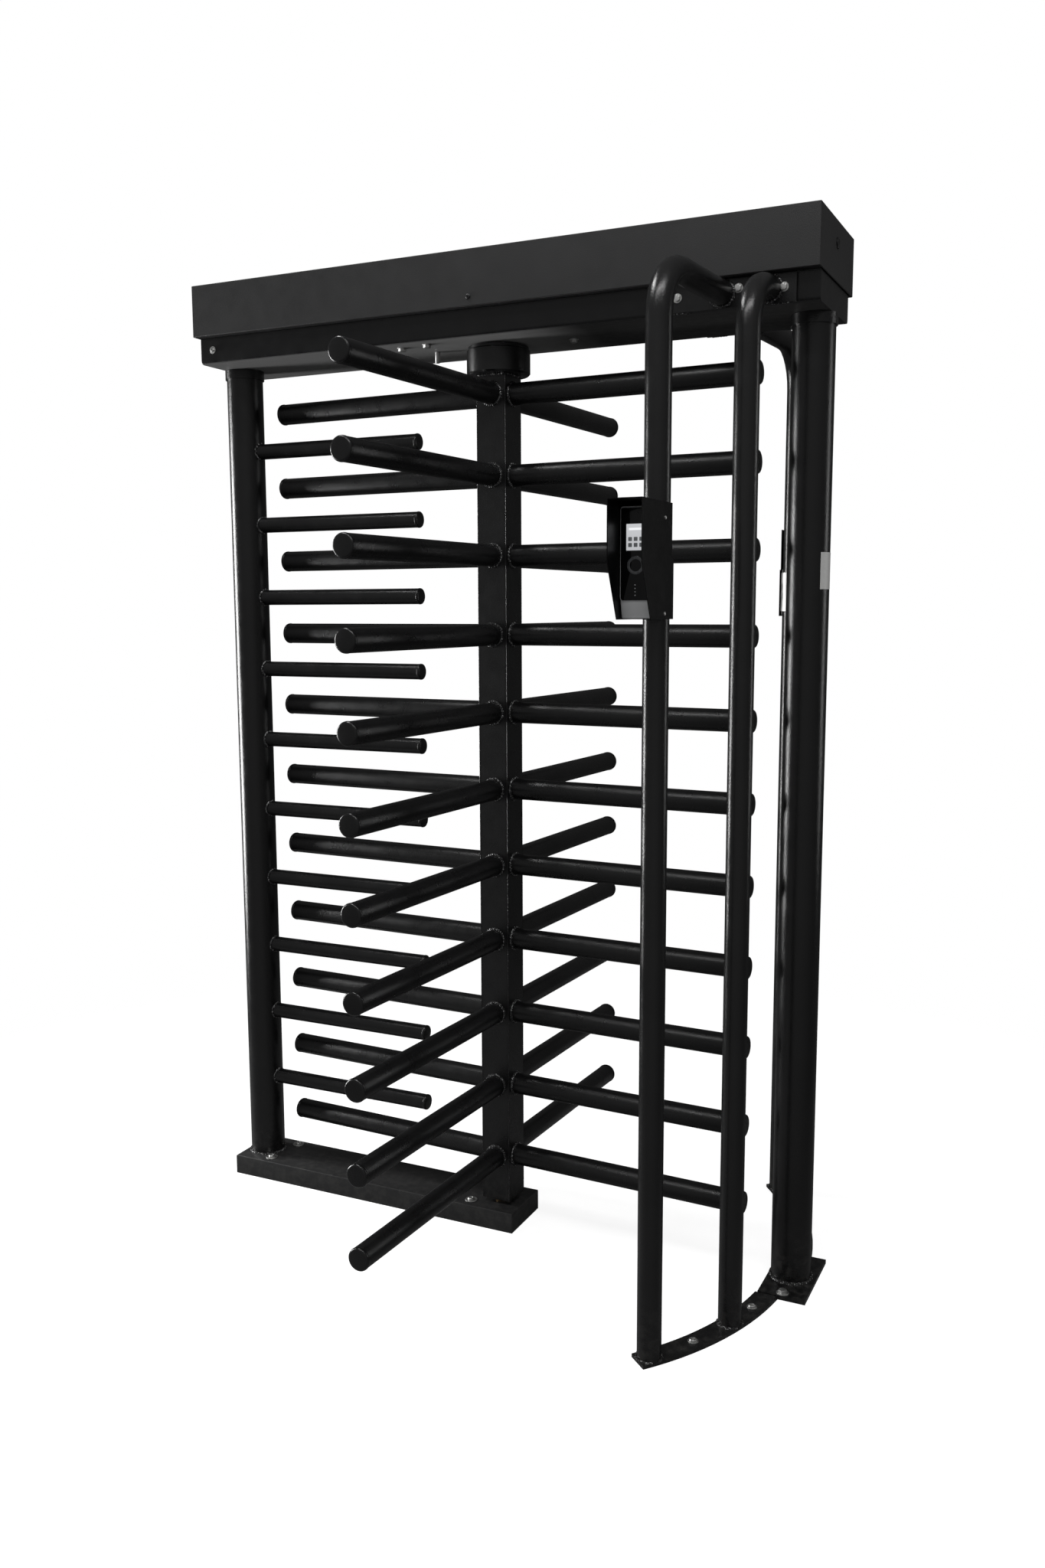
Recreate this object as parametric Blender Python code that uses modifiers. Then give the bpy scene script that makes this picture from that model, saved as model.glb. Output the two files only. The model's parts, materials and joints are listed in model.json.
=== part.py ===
"""Full-height security turnstile: a cage of fixed bars and guards around a four-wing rotor.

Metres, +Z up. The rotor turns about the world Z axis, the floor is Z = 0, the header runs
along X and people walk through along Y, on the +X side of the rotor.
"""
import bpy
import bmesh
from math import asin, cos, pi, radians, sin
from mathutils import Matrix, Vector

# ---------------------------------------------------------------- driving dimensions
OVERALL_HEIGHT = 2.280
PASSAGE_HEIGHT = 2.100          # underside of the header channel
HEADER_LENGTH = 1.524
HEADER_CENTRE_X = 0.008
COVER_HEIGHT = 0.120
COVER_DEPTH = 0.300
CHANNEL_DEPTH = 0.250
COVER_SHEET = 0.002
COVER_LIP = 0.020
COVER_LOCK = (-0.006, 2.234, 0.0095)      # Y, Z and radius of the lock's hole in the right end
CHANNEL_SHEET = 0.003
TOUCH = 0.0003                  # gap left between pieces that touch

LEFT_POST_X = -0.716
RIGHT_POST_X = 0.725
POST_RADIUS = 0.0445
POST_WALL = 0.004

COLUMN_SIDE = 0.075
COLUMN_SHEET = 0.004
COLUMN_BOTTOM = 0.060
COLUMN_TOP = 2.034
ROTOR_REST_ANGLE = radians(-2.5)
ARM_LEVELS = 11
ARM_LOWEST = 0.171
ARM_PITCH = 0.182
ARM_RADIUS = 0.025
ARM_REACH = 0.623               # from the rotor's axis to the arm's tip
ARM_TIP_ROUND = 0.005

BAR_LEVELS = 10
BAR_RADIUS = 0.019
BAR_TIP_X = -0.212
BAR_TIP_ROUND = 0.003

BASE_LEFT = -0.766
BASE_RIGHT = 0.060
BASE_DEPTH = 0.152
BASE_HEIGHT = 0.050
BASE_SHEET = 0.004

ARC_WIDTH = 0.050
ARC_THICKNESS = 0.008
GUARD_TUBE_RADIUS = 0.025
GUARD_BEND = 0.100
# Of each guard: the radius of its arc's middle about the rotor's axis, the angles of its inner
# tube, its tip tube and its arc's end, the height of its top runs, and how far they lean
# towards +X, per metre.
FRONT_GUARD = (0.704, radians(20.9), radians(39.0), radians(41.2), 2.131, 0.07)
REAR_GUARD = (0.730, radians(20.9), radians(36.8), radians(38.8), 2.123, -0.07)

POST_PLATE_SIZE = (0.106, 0.204, 0.010)
POST_PLATE_X = 0.729
BRACKET_LEFT = 0.455
BRACKET_RIGHT = 0.720
BRACKET_LOW = 2.102
BRACKET_HIGH = 2.158
BRACKET_THICKNESS = 0.008

SHAFT_RADIUS = 0.020
SHAFT_CLEARANCE = 0.0004
MECHANISM_PLATE = (0.250, 0.115, 0.008)   # half length, half depth, thickness
PAWL_LEVEL = 2.162                        # middle height of the pawls and the locking hub
PAWL_THICKNESS = 0.012
PAWL_PIVOT = (0.150, 0.027)
PAWL_SWING = radians(25)
PAWL_LENGTH = 0.082
PAWL_HALF_WIDTH = 0.009
LUG_REACH = 0.085
LUG_HALF_WIDTH = 0.012
SOLENOID_X = 0.105
SOLENOID_REACH = (0.082, 0.119)           # a solenoid's body, out from the rotor's axis along Y
PLUNGER_REACH = (0.0625, 0.116)
DRUM_TOP = 2.088
DISC_THICKNESS = 0.006

READER_WIDTH = 0.0595
READER_SHIFT = 0.003            # the hood sits a little to the right of its tube, facing it
READER_LOW = 1.487
READER_HIGH = 1.685
READER_FACE = 0.117             # from the tube's middle out to the terminal's face
HOOD_SHEET = 0.002
HOOD_FRONT = 0.1745             # the hood's front and its walls' rear edges, out from the tube
HOOD_REAR = 0.0175
HOOD_REAR_LOW = 0.008           # the walls reach further back over the clamp, up to its top
CLAMP_TOP = 1.598
HOOD_HIGH = 1.6955
HOOD_BACK_PLATE = 0.048
HOOD_SLANT_HEIGHT = 0.100       # the walls' lower front corners are cut back this high
HOOD_SLANT_DEPTH = 0.046
CHIN_HEIGHT = 0.034             # the terminal's bare lower part, below its glass

ROUND_SIDES = 32
ARM_SIDES = 20

# ---------------------------------------------------------------- scene and materials
for old in list(bpy.data.objects):
    bpy.data.objects.remove(old, do_unlink=True)

parts = bpy.data.collections.new("full_height_turnstile")
cutters = bpy.data.collections.new("cutters")
bpy.context.scene.collection.children.link(parts)
bpy.context.scene.collection.children.link(cutters)


def material(name, colour, roughness, metallic=0.0):
    made = bpy.data.materials.new(name)
    made.use_nodes = True
    shader = made.node_tree.nodes["Principled BSDF"]
    shader.inputs["Base Color"].default_value = (*colour, 1.0)
    shader.inputs["Roughness"].default_value = roughness
    shader.inputs["Metallic"].default_value = metallic
    return made


POWDER_BLACK = ((0.012, 0.012, 0.013), 0.38)
COVER_BLACK = ((0.026, 0.026, 0.028), 0.55)
ZINC = ((0.62, 0.63, 0.64), 0.35, 1.0)
STEEL = ((0.42, 0.43, 0.45), 0.30, 1.0)
BRONZE = ((0.55, 0.38, 0.18), 0.40, 1.0)
PLASTIC_BLACK = ((0.010, 0.010, 0.011), 0.25)
GLASS_BLACK = ((0.020, 0.022, 0.026), 0.06)
BOARD_GREEN = ((0.010, 0.120, 0.050), 0.45)


# ---------------------------------------------------------------- helpers
def add(name, mesh, look=None, location=(0, 0, 0), turn=(0, 0, 0), parent=None):
    """Link a mesh as a named part; without a look it is a cutter."""
    thing = bpy.data.objects.new(name, mesh)
    thing.location = location
    thing.rotation_euler = turn
    if parent:
        thing.parent = parent
    if look:
        parts.objects.link(thing)
        thing.data.materials.append(material(name, *look))
        return thing
    cutters.objects.link(thing)
    thing.hide_render = True
    thing.display_type = "WIRE"
    return thing


def axis_empty(name, location, turn=0.0):
    empty = bpy.data.objects.new(name, None)
    empty.location = location
    empty.rotation_euler = (0, 0, turn)
    parts.objects.link(empty)
    return empty


def box_mesh(low, high, bevel=0.0, bevel_sides=2, only_along=None):
    """A box between two corners, with its edges rounded, or only those along one axis."""
    low, high = Vector(low), Vector(high)
    form = bmesh.new()
    bmesh.ops.create_cube(form, size=1.0)
    bmesh.ops.scale(form, vec=high - low, verts=form.verts)
    bmesh.ops.translate(form, vec=(low + high) / 2, verts=form.verts)
    if bevel:
        edges = [e for e in form.edges if only_along is None or only_along(e)]
        bmesh.ops.bevel(
            form, geom=edges, offset=bevel, segments=bevel_sides, profile=0.5, affect="EDGES"
        )
    mesh = bpy.data.meshes.new("box")
    form.to_mesh(mesh)
    form.free()
    return mesh


def rod_mesh(radius, start, end, sides=ROUND_SIDES):
    """A round bar between two points."""
    start, end = Vector(start), Vector(end)
    form = bmesh.new()
    add_rod(form, radius, start, end, sides)
    return rounded(form)


def add_rod(form, radius, start, end, sides):
    way = end - start
    place = Matrix.Translation((start + end) / 2) @ way.to_track_quat("Z", "Y").to_matrix().to_4x4()
    made = bmesh.ops.create_cone(
        form, cap_ends=True, segments=sides, radius1=radius, radius2=radius,
        depth=way.length, matrix=place,
    )
    return made["verts"]


def round_tip(form, verts, x, size, steps):
    """Round the rim of a rod's end that lies at x."""
    tip = {vert for vert in verts if abs(vert.co.x - x) < 0.0001}
    rim = [edge for edge in form.edges if edge.verts[0] in tip and edge.verts[1] in tip]
    bmesh.ops.bevel(form, geom=rim, offset=size, segments=steps, profile=0.5, affect="EDGES")


def rounded(form):
    """Turn a bmesh into a mesh that is shaded smooth, with its corners kept sharp."""
    mesh = bpy.data.meshes.new("round")
    form.to_mesh(mesh)
    form.free()
    mesh.shade_smooth()
    mesh.set_sharp_from_angle(angle=radians(35))
    return mesh


def turned(name, outline, look, location=(0, 0, 0), sides=ROUND_SIDES, parent=None):
    """A turned piece: (radius, height) points spun about its Z axis.

    The points go down its outer side. They close up its bore, or start and end on the axis.
    """
    mesh = bpy.data.meshes.new(name)
    points = [(radius, 0, height) for radius, height in outline]
    edges = [(i, i + 1) for i in range(len(points) - 1)]
    if outline[0][0] > 0:
        edges.append((len(points) - 1, 0))
    mesh.from_pydata(points, edges, [])
    thing = add(name, mesh, look, location, parent=parent)
    spin = thing.modifiers.new("spin", "SCREW")
    spin.steps = sides
    spin.render_steps = sides
    spin.use_merge_vertices = True
    spin.merge_threshold = 0.00001
    spin.use_smooth_shade = True
    return thing


def combine(target, operation, tool_mesh, name, parent=None):
    """Cut a tool's shape out of a part, or join it on."""
    tool = add(name, tool_mesh, location=target.location, turn=target.rotation_euler, parent=parent)
    step = target.modifiers.new(name, "BOOLEAN")
    step.operation = operation
    step.object = tool
    step.solver = "EXACT"


def cut(target, tool_mesh, name):
    combine(target, "DIFFERENCE", tool_mesh, name, target.parent)


def join(target, tool_mesh, name):
    combine(target, "UNION", tool_mesh, name, target.parent)


def bent_tube(name, route, radius, look, sides=6):
    """A round tube along a smooth route of points, with closed ends."""
    curve = bpy.data.curves.new(name, "CURVE")
    curve.dimensions = "3D"
    curve.bevel_depth = radius
    curve.bevel_resolution = sides
    curve.use_fill_caps = True
    line = curve.splines.new("POLY")
    line.points.add(len(route) - 1)
    for point, place in zip(line.points, route):
        point.co = (*place, 1.0)
    tube = bpy.data.objects.new(name, curve)
    parts.objects.link(tube)
    curve.materials.append(material(name, *look))
    return tube


def flat_plate(name, outline, thickness, look, location):
    """A flat plate cut to an outline of (x, y) points, lying on its location's height."""
    curve = bpy.data.curves.new(name, "CURVE")
    curve.dimensions = "2D"
    curve.fill_mode = "BOTH"
    curve.extrude = thickness / 2
    line = curve.splines.new("POLY")
    line.points.add(len(outline) - 1)
    line.use_cyclic_u = True
    for point, (x, y) in zip(line.points, outline):
        point.co = (x, y, 0, 1)
    plate = bpy.data.objects.new(name, curve)
    plate.location = Vector(location) + Vector((0, 0, thickness / 2))
    parts.objects.link(plate)
    curve.materials.append(material(name, *look))
    return plate


# ---------------------------------------------------------------- header
def lies_along_x(edge):
    a, b = edge.verts[0].co, edge.verts[1].co
    return abs(a.x - b.x) > 0.1


def low_along_x(edge):
    return lies_along_x(edge) and edge.verts[0].co.z < PASSAGE_HEIGHT + 0.001


def low_along_x_inner(edge):
    return lies_along_x(edge) and edge.verts[0].co.z < PASSAGE_HEIGHT + CHANNEL_SHEET + 0.001


def make_cover():
    """The lid: a folded sheet box, open below, with a narrow lip turned in along both sides."""
    half = HEADER_LENGTH / 2
    side = COVER_DEPTH / 2
    low = OVERALL_HEIGHT - COVER_HEIGHT
    left, right = HEADER_CENTRE_X - half, HEADER_CENTRE_X + half
    cover = add(
        "header_cover", box_mesh((left, -side, low), (right, side, OVERALL_HEIGHT), 0.0015, 1),
        COVER_BLACK,
    )
    inner_low = (left + COVER_SHEET, -side + COVER_SHEET, low + COVER_SHEET)
    inner_high = (right - COVER_SHEET, side - COVER_SHEET, OVERALL_HEIGHT - COVER_SHEET)
    cut(cover, box_mesh(inner_low, inner_high), "cover_inside")
    slot_low = (left + COVER_SHEET, -side + COVER_LIP, low - 0.01)
    slot_high = (right - COVER_SHEET, side - COVER_LIP, low + 0.01)
    cut(cover, box_mesh(slot_low, slot_high), "cover_mouth")
    y, z, radius = COVER_LOCK
    cut(cover, rod_mesh(radius, (right - 0.01, y, z), (right + 0.01, y, z), 24), "cover_lock_hole")


def make_channel():
    """The header beam: a folded trough that carries the rotor's head and stands on both posts."""
    half = HEADER_LENGTH / 2 - 0.004
    side = CHANNEL_DEPTH / 2
    top = OVERALL_HEIGHT - COVER_SHEET - TOUCH
    low = (HEADER_CENTRE_X - half, -side, PASSAGE_HEIGHT)
    high = (HEADER_CENTRE_X + half, side, top)
    channel = add("header_channel", box_mesh(low, high, 0.009, 3, low_along_x), POWDER_BLACK)
    sheet = CHANNEL_SHEET
    inner_low = (low[0] + sheet, low[1] + sheet, low[2] + sheet)
    inner_high = (high[0] - sheet, high[1] - sheet, high[2] + 0.01)
    cut(channel, box_mesh(inner_low, inner_high, 0.006, 2, low_along_x_inner), "channel_inside")
    hole = rod_mesh(0.032, (0, 0, PASSAGE_HEIGHT - 0.01), (0, 0, PASSAGE_HEIGHT + 0.02))
    cut(channel, hole, "channel_shaft_hole")
    for name, x in (("left", LEFT_POST_X), ("right", RIGHT_POST_X)):
        wires = rod_mesh(0.022, (x, 0, PASSAGE_HEIGHT - 0.01), (x, 0, PASSAGE_HEIGHT + 0.02), 16)
        cut(channel, wires, "channel_wire_hole_" + name)


# ---------------------------------------------------------------- posts, base and bars
def make_post(name, x, low):
    """A round tube post, open at both ends for the wires."""
    high = PASSAGE_HEIGHT - TOUCH
    inner = POST_RADIUS - POST_WALL
    outline = [(POST_RADIUS, high), (POST_RADIUS, low), (inner, low), (inner, high)]
    turned(name, outline, POWDER_BLACK, (x, 0, 0))
    socket_outer = POST_RADIUS + 0.0035
    socket_inner = POST_RADIUS + TOUCH
    ring = [(socket_outer, high), (socket_outer, high - 0.022)]
    ring += [(socket_inner, high - 0.022), (socket_inner, high)]
    turned(name + "_socket", ring, POWDER_BLACK, (x, 0, 0))


def make_base():
    """The folded base box under the left post and the rotor, and the rotor's bottom bearing."""
    side = BASE_DEPTH / 2
    sheet = BASE_SHEET
    base = add(
        "base_box",
        box_mesh((BASE_LEFT, -side, 0), (BASE_RIGHT, side, BASE_HEIGHT), 0.003, 2, is_upper),
        POWDER_BLACK,
    )
    inner_low = (BASE_LEFT + sheet, -side + sheet, -0.01)
    inner_high = (BASE_RIGHT - sheet, side - sheet, BASE_HEIGHT - sheet)
    cut(base, box_mesh(inner_low, inner_high), "base_inside")
    cut(base, rod_mesh(0.0205, (0, 0, 0.03), (0, 0, 0.07)), "base_bearing_hole")
    under = BASE_HEIGHT - BASE_SHEET - TOUCH
    top = BASE_HEIGHT + 0.004
    bush = [(0, 0.013), (0.0125, 0.013), (0.0125, top), (0.020, top), (0.020, under)]
    bush += [(0.032, under), (0.032, 0), (0, 0)]
    turned("bottom_bearing", bush, BRONZE)


def is_upper(edge):
    return min(edge.verts[0].co.z, edge.verts[1].co.z) > BASE_HEIGHT - 0.001


def make_barrier_bars():
    """Ten fixed bars on the left post, which mesh between the levels of the rotor's arms."""
    saddle = ((LEFT_POST_X, 0, -0.1), (LEFT_POST_X, 0, 0.1))
    for level in range(BAR_LEVELS):
        height = ARM_LOWEST + ARM_PITCH * (BAR_LEVELS - level - 0.5)
        form = bmesh.new()
        start, end = Vector((LEFT_POST_X + POST_RADIUS - 0.008, 0, 0)), Vector((BAR_TIP_X, 0, 0))
        verts = add_rod(form, BAR_RADIUS, start, end, ARM_SIDES)
        round_tip(form, verts, BAR_TIP_X, BAR_TIP_ROUND, 1)
        bar = add(f"barrier_bar_{level + 1:02d}", rounded(form), POWDER_BLACK, (0, 0, height))
        cut(bar, rod_mesh(POST_RADIUS + TOUCH, *saddle), f"bar_saddle_{level + 1:02d}")


# ---------------------------------------------------------------- guards
def on_circle(radius, angle):
    return (radius * cos(angle), radius * sin(angle))


def arc_outline(middle, end_angle, side):
    """The guard's foot: a strip bent round the rotor, square against the post's plate."""
    inner = middle - ARC_WIDTH / 2
    outer = middle + ARC_WIDTH / 2
    edge = POST_PLATE_SIZE[1] / 2 + TOUCH
    outline = []
    steps = 14
    for radius, order in ((outer, range(steps + 1)), (inner, range(steps, -1, -1))):
        start_angle = asin(edge / radius)
        for step in order:
            angle = start_angle + (end_angle - start_angle) * step / steps
            x, y = on_circle(radius, angle)
            outline.append((x, side * y))
    return outline


def guard_route(radius, angle, height, lean, side):
    """Up from the arc, round the bend and across to the header's bracket."""
    x, y = on_circle(radius, angle)
    end = CHANNEL_DEPTH / 2 + BRACKET_THICKNESS + TOUCH
    bend_y = y - GUARD_BEND
    bend_z = height - GUARD_BEND
    low = ARC_THICKNESS + TOUCH
    route = [(x, side * y, low), (x, side * y, 1.0), (x, side * y, bend_z)]
    steps = 7
    for step in range(1, steps + 1):
        turn = pi / 2 * step / steps
        out = bend_y + GUARD_BEND * cos(turn)
        route.append((x + lean * (y - out), side * out, bend_z + GUARD_BEND * sin(turn)))
    square = end + 0.010
    last_x = x + lean * (y - square)
    route.append((last_x, side * square, height))
    route.append((last_x, side * end, height))
    return route


def make_guard(name, side, shape):
    """A curved guard: its arc on the floor, two bent tubes and their plate on the header."""
    radius, inner_angle, tip_angle, arc_angle, height, lean = shape
    outline = arc_outline(radius, arc_angle, side)
    flat_plate(name + "_arc_foot", outline, ARC_THICKNESS, POWDER_BLACK, (0, 0, 0))
    tip_route = guard_route(radius, tip_angle, height, lean, side)
    bent_tube(name + "_tip_tube", tip_route, GUARD_TUBE_RADIUS, POWDER_BLACK)
    inner_route = guard_route(radius, inner_angle, height, lean, side)
    bent_tube(name + "_inner_tube", inner_route, GUARD_TUBE_RADIUS, POWDER_BLACK)
    near = CHANNEL_DEPTH / 2 + TOUCH
    far = CHANNEL_DEPTH / 2 + BRACKET_THICKNESS
    low_y, high_y = min(side * near, side * far), max(side * near, side * far)
    add(
        name + "_bracket",
        box_mesh((BRACKET_LEFT, low_y, BRACKET_LOW), (BRACKET_RIGHT, high_y, BRACKET_HIGH)),
        POWDER_BLACK,
    )


def make_post_plate():
    length, depth, thickness = POST_PLATE_SIZE
    low = (POST_PLATE_X - length / 2, -depth / 2, 0)
    high = (POST_PLATE_X + length / 2, depth / 2, thickness)
    add("right_post_plate", box_mesh(low, high), POWDER_BLACK)


# ---------------------------------------------------------------- rotor
def arms_mesh():
    """Eleven arms of one wing, reaching along +X from just inside the column's face."""
    form = bmesh.new()
    root = COLUMN_SIDE / 2 - COLUMN_SHEET / 2
    for level in range(ARM_LEVELS):
        height = ARM_LOWEST + ARM_PITCH * level
        start, end = Vector((root, 0, height)), Vector((ARM_REACH, 0, height))
        verts = add_rod(form, ARM_RADIUS, start, end, ARM_SIDES)
        round_tip(form, verts, ARM_REACH, ARM_TIP_ROUND, 2)
    return rounded(form)


def make_wing(name, quarter, half_width, rotor):
    """One wing: a face of the box column with its eleven arms welded on."""
    face = COLUMN_SIDE / 2
    low = (face - COLUMN_SHEET, -half_width, COLUMN_BOTTOM)
    wing = add(
        name, box_mesh(low, (face, half_width, COLUMN_TOP)), POWDER_BLACK,
        turn=(0, 0, quarter * pi / 2), parent=rotor,
    )
    join(wing, arms_mesh(), name + "_arms")


def make_rotor(rotor):
    wide = COLUMN_SIDE / 2
    narrow = COLUMN_SIDE / 2 - COLUMN_SHEET - TOUCH
    make_wing("rotor_wing_right", 0, wide, rotor)
    make_wing("rotor_wing_rear", 1, narrow, rotor)
    make_wing("rotor_wing_left", 2, wide, rotor)
    make_wing("rotor_wing_front", 3, narrow, rotor)
    plug_low = COLUMN_BOTTOM + 0.002
    add(
        "rotor_foot_plate",
        box_mesh((-narrow, -narrow, plug_low), (narrow, narrow, plug_low + 0.010)),
        POWDER_BLACK, parent=rotor,
    )
    pin = [(0, plug_low - TOUCH), (0.019, plug_low - TOUCH), (0.019, plug_low - 0.004)]
    pin += [(0.012, plug_low - 0.004), (0.012, 0.016), (0, 0.016)]
    turned("pivot_pin", pin, STEEL, parent=rotor)


def make_rotor_head(rotor):
    """The drum on the column's top, the dust disc above it and the shaft into the header."""
    low = COLUMN_TOP + TOUCH
    floor = low + 0.010
    top = DRUM_TOP
    drum = [(0.073, top), (0.073, low + 0.004), (0.069, low), (0.006, low)]
    drum += [(0.006, floor), (0.066, floor), (0.066, top)]
    turned("rotor_drum", drum, POWDER_BLACK, parent=rotor)
    bore = SHAFT_RADIUS + SHAFT_CLEARANCE
    disc_low = DRUM_TOP + 0.0025
    disc_high = disc_low + DISC_THICKNESS
    disc = [(0.0695, disc_high), (0.0695, disc_low), (bore, disc_low), (bore, disc_high)]
    turned("dust_disc", disc, POWDER_BLACK, parent=rotor)
    shaft = [(0, 2.232), (0.010, 2.232), (0.010, 2.190), (SHAFT_RADIUS, 2.190)]
    shaft += [(SHAFT_RADIUS, floor + 0.012), (0.034, floor + 0.012)]
    shaft += [(0.034, floor + TOUCH), (0, floor + TOUCH)]
    turned("rotor_shaft", shaft, STEEL, parent=rotor)
    make_locking_hub(rotor, bore)


def make_locking_hub(rotor, bore):
    """A hub with four stop lugs, one over each wing, for the pawls to catch."""
    low = PAWL_LEVEL - PAWL_THICKNESS / 2
    high = PAWL_LEVEL + PAWL_THICKNESS / 2
    ring = rod_mesh(0.044, (0, 0, low), (0, 0, high))
    hub = add("locking_hub", ring, STEEL, parent=rotor)
    long_way = box_mesh((-LUG_REACH, -LUG_HALF_WIDTH, low), (LUG_REACH, LUG_HALF_WIDTH, high))
    cross_way = box_mesh((-LUG_HALF_WIDTH, -LUG_REACH, low), (LUG_HALF_WIDTH, LUG_REACH, high))
    join(hub, long_way, "hub_lugs_along")
    join(hub, cross_way, "hub_lugs_across")
    cut(hub, rod_mesh(bore, (0, 0, low - 0.01), (0, 0, high + 0.01)), "hub_bore")


# ---------------------------------------------------------------- mechanism in the header
def make_bearing_and_plate():
    half_x, half_y, thick = MECHANISM_PLATE
    low = PASSAGE_HEIGHT + CHANNEL_SHEET + TOUCH
    high = low + thick
    plate = add(
        "mechanism_plate", box_mesh((-half_x, -half_y, low), (half_x, half_y, high)), STEEL
    )
    cut(plate, rod_mesh(0.030, (0, 0, low - 0.01), (0, 0, high + 0.01)), "plate_shaft_hole")
    bore = SHAFT_RADIUS + SHAFT_CLEARANCE
    foot = high + TOUCH
    housing = [(0.038, foot + 0.036), (0.038, foot + 0.012), (0.062, foot + 0.012)]
    housing += [(0.062, foot), (bore, foot), (bore, foot + 0.036)]
    turned("top_bearing", housing, STEEL)
    return foot


def pawl_mesh():
    """A flat locking lever; its nose points towards -X from its pivot."""
    form = bmesh.new()
    bmesh.ops.create_cube(form, size=1.0)
    bmesh.ops.scale(form, vec=(PAWL_LENGTH, 2 * PAWL_HALF_WIDTH, PAWL_THICKNESS), verts=form.verts)
    bmesh.ops.translate(form, vec=(-PAWL_LENGTH / 2, 0, 0), verts=form.verts)
    mesh = bpy.data.meshes.new("pawl")
    form.to_mesh(mesh)
    form.free()
    return mesh


def make_pawl(letter, side, foot):
    """A locking pawl, its shoulder pin, and the solenoid whose plunger pushes it in."""
    x, y = PAWL_PIVOT[0], side * PAWL_PIVOT[1]
    released = -side * PAWL_SWING
    axis = axis_empty("pawl_axis_" + letter, (x, y, PAWL_LEVEL), released)
    half = PAWL_THICKNESS / 2
    pawl = add("locking_pawl_" + letter, pawl_mesh(), STEEL, parent=axis)
    eye = rod_mesh(0.013, (0, 0, -half), (0, 0, half), 24)
    join(pawl, eye, "pawl_eye_" + letter)
    cut(pawl, rod_mesh(0.0055, (0, 0, -0.02), (0, 0, 0.02), 24), "pawl_hole_" + letter)
    shoulder = PAWL_LEVEL - half - TOUCH
    top = PAWL_LEVEL + half + 0.006
    pin = [(0, top), (0.005, top), (0.005, shoulder), (0.010, shoulder), (0.010, foot), (0, foot)]
    turned("pawl_pin_" + letter, pin, STEEL, (x, y, 0), 24)
    make_solenoid(letter, side, foot)


def make_solenoid(letter, side, foot):
    near, far = SOLENOID_REACH
    low_y, high_y = min(side * near, side * far), max(side * near, side * far)
    body = add(
        "solenoid_" + letter,
        box_mesh((SOLENOID_X - 0.020, low_y, PAWL_LEVEL - 0.019),
                 (SOLENOID_X + 0.020, high_y, PAWL_LEVEL + 0.021), 0.002, 1),
        ZINC,
    )
    stand = box_mesh((SOLENOID_X - 0.016, low_y + 0.002, foot),
                     (SOLENOID_X + 0.016, high_y - 0.002, PAWL_LEVEL))
    join(body, stand, "solenoid_stand_" + letter)
    start = (SOLENOID_X, side * (near - 0.01), PAWL_LEVEL)
    end = (SOLENOID_X, side * (far + 0.01), PAWL_LEVEL)
    cut(body, rod_mesh(0.0066, start, end, 24), "solenoid_bore_" + letter)
    nose, tail = PLUNGER_REACH
    slide = axis_empty("plunger_axis_" + letter, (SOLENOID_X, side * nose, PAWL_LEVEL))
    rod = rod_mesh(0.006, (0, 0, 0), (0, side * (tail - nose), 0), 24)
    add("solenoid_plunger_" + letter, rod, STEEL, parent=slide)


def make_damper(foot):
    """A rotary damper over the shaft's end, held by a bridge across the mechanism plate."""
    level = 2.1905
    thick = 0.006
    half_x, half_y = 0.045, 0.110
    bridge = add(
        "damper_bridge",
        box_mesh((-half_x, -half_y, foot), (half_x, half_y, level + thick)), STEEL,
    )
    inside = box_mesh((-half_x - 0.01, -half_y + thick, foot - 0.01),
                      (half_x + 0.01, half_y - thick, level))
    cut(bridge, inside, "bridge_inside")
    cut(bridge, rod_mesh(0.022, (0, 0, level - 0.01), (0, 0, level + 0.02)), "bridge_hole")
    low = level + thick + TOUCH
    bore = 0.0104
    damper = [(0.044, low + 0.040), (0.044, low), (bore, low), (bore, low + 0.040)]
    turned("rotary_damper", damper, PLASTIC_BLACK)


def make_electronics(foot):
    """The position sensor by the hub, the control board and the power supply."""
    sensor = add(
        "position_sensor", rod_mesh(0.006, (-0.089, 0, PAWL_LEVEL), (-0.150, 0, PAWL_LEVEL), 16),
        ZINC,
    )
    join(sensor, box_mesh((-0.140, -0.012, foot), (-0.120, 0.012, PAWL_LEVEL + 0.010)), "sensor_stand")
    floor = PASSAGE_HEIGHT + CHANNEL_SHEET + TOUCH
    board = add(
        "control_board", box_mesh((-0.480, -0.070, floor + 0.010), (-0.300, 0.070, floor + 0.012)),
        BOARD_GREEN,
    )
    blocks = (
        ((-0.470, -0.066), (-0.330, -0.052), 0.014),
        ((-0.470, 0.050), (-0.400, 0.066), 0.014),
        ((-0.440, -0.020), (-0.415, 0.005), 0.004),
        ((-0.375, -0.030), (-0.345, 0.010), 0.020),
    )
    for number, (low, high, height) in enumerate(blocks):
        block = box_mesh((*low, floor + 0.011), (*high, floor + 0.012 + height))
        join(board, block, f"board_block_{number}")
    legs = ((-0.474, -0.040), (-0.306, -0.064), (-0.474, 0.030), (-0.306, 0.064))
    for number, (x, y) in enumerate(legs):
        leg = rod_mesh(0.003, (x, y, floor), (x, y, floor + 0.011), 12)
        join(board, leg, f"board_leg_{number}")
    add(
        "power_supply",
        box_mesh((-0.700, -0.055, floor), (-0.520, 0.055, floor + 0.045), 0.002, 1), ZINC,
    )


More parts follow.
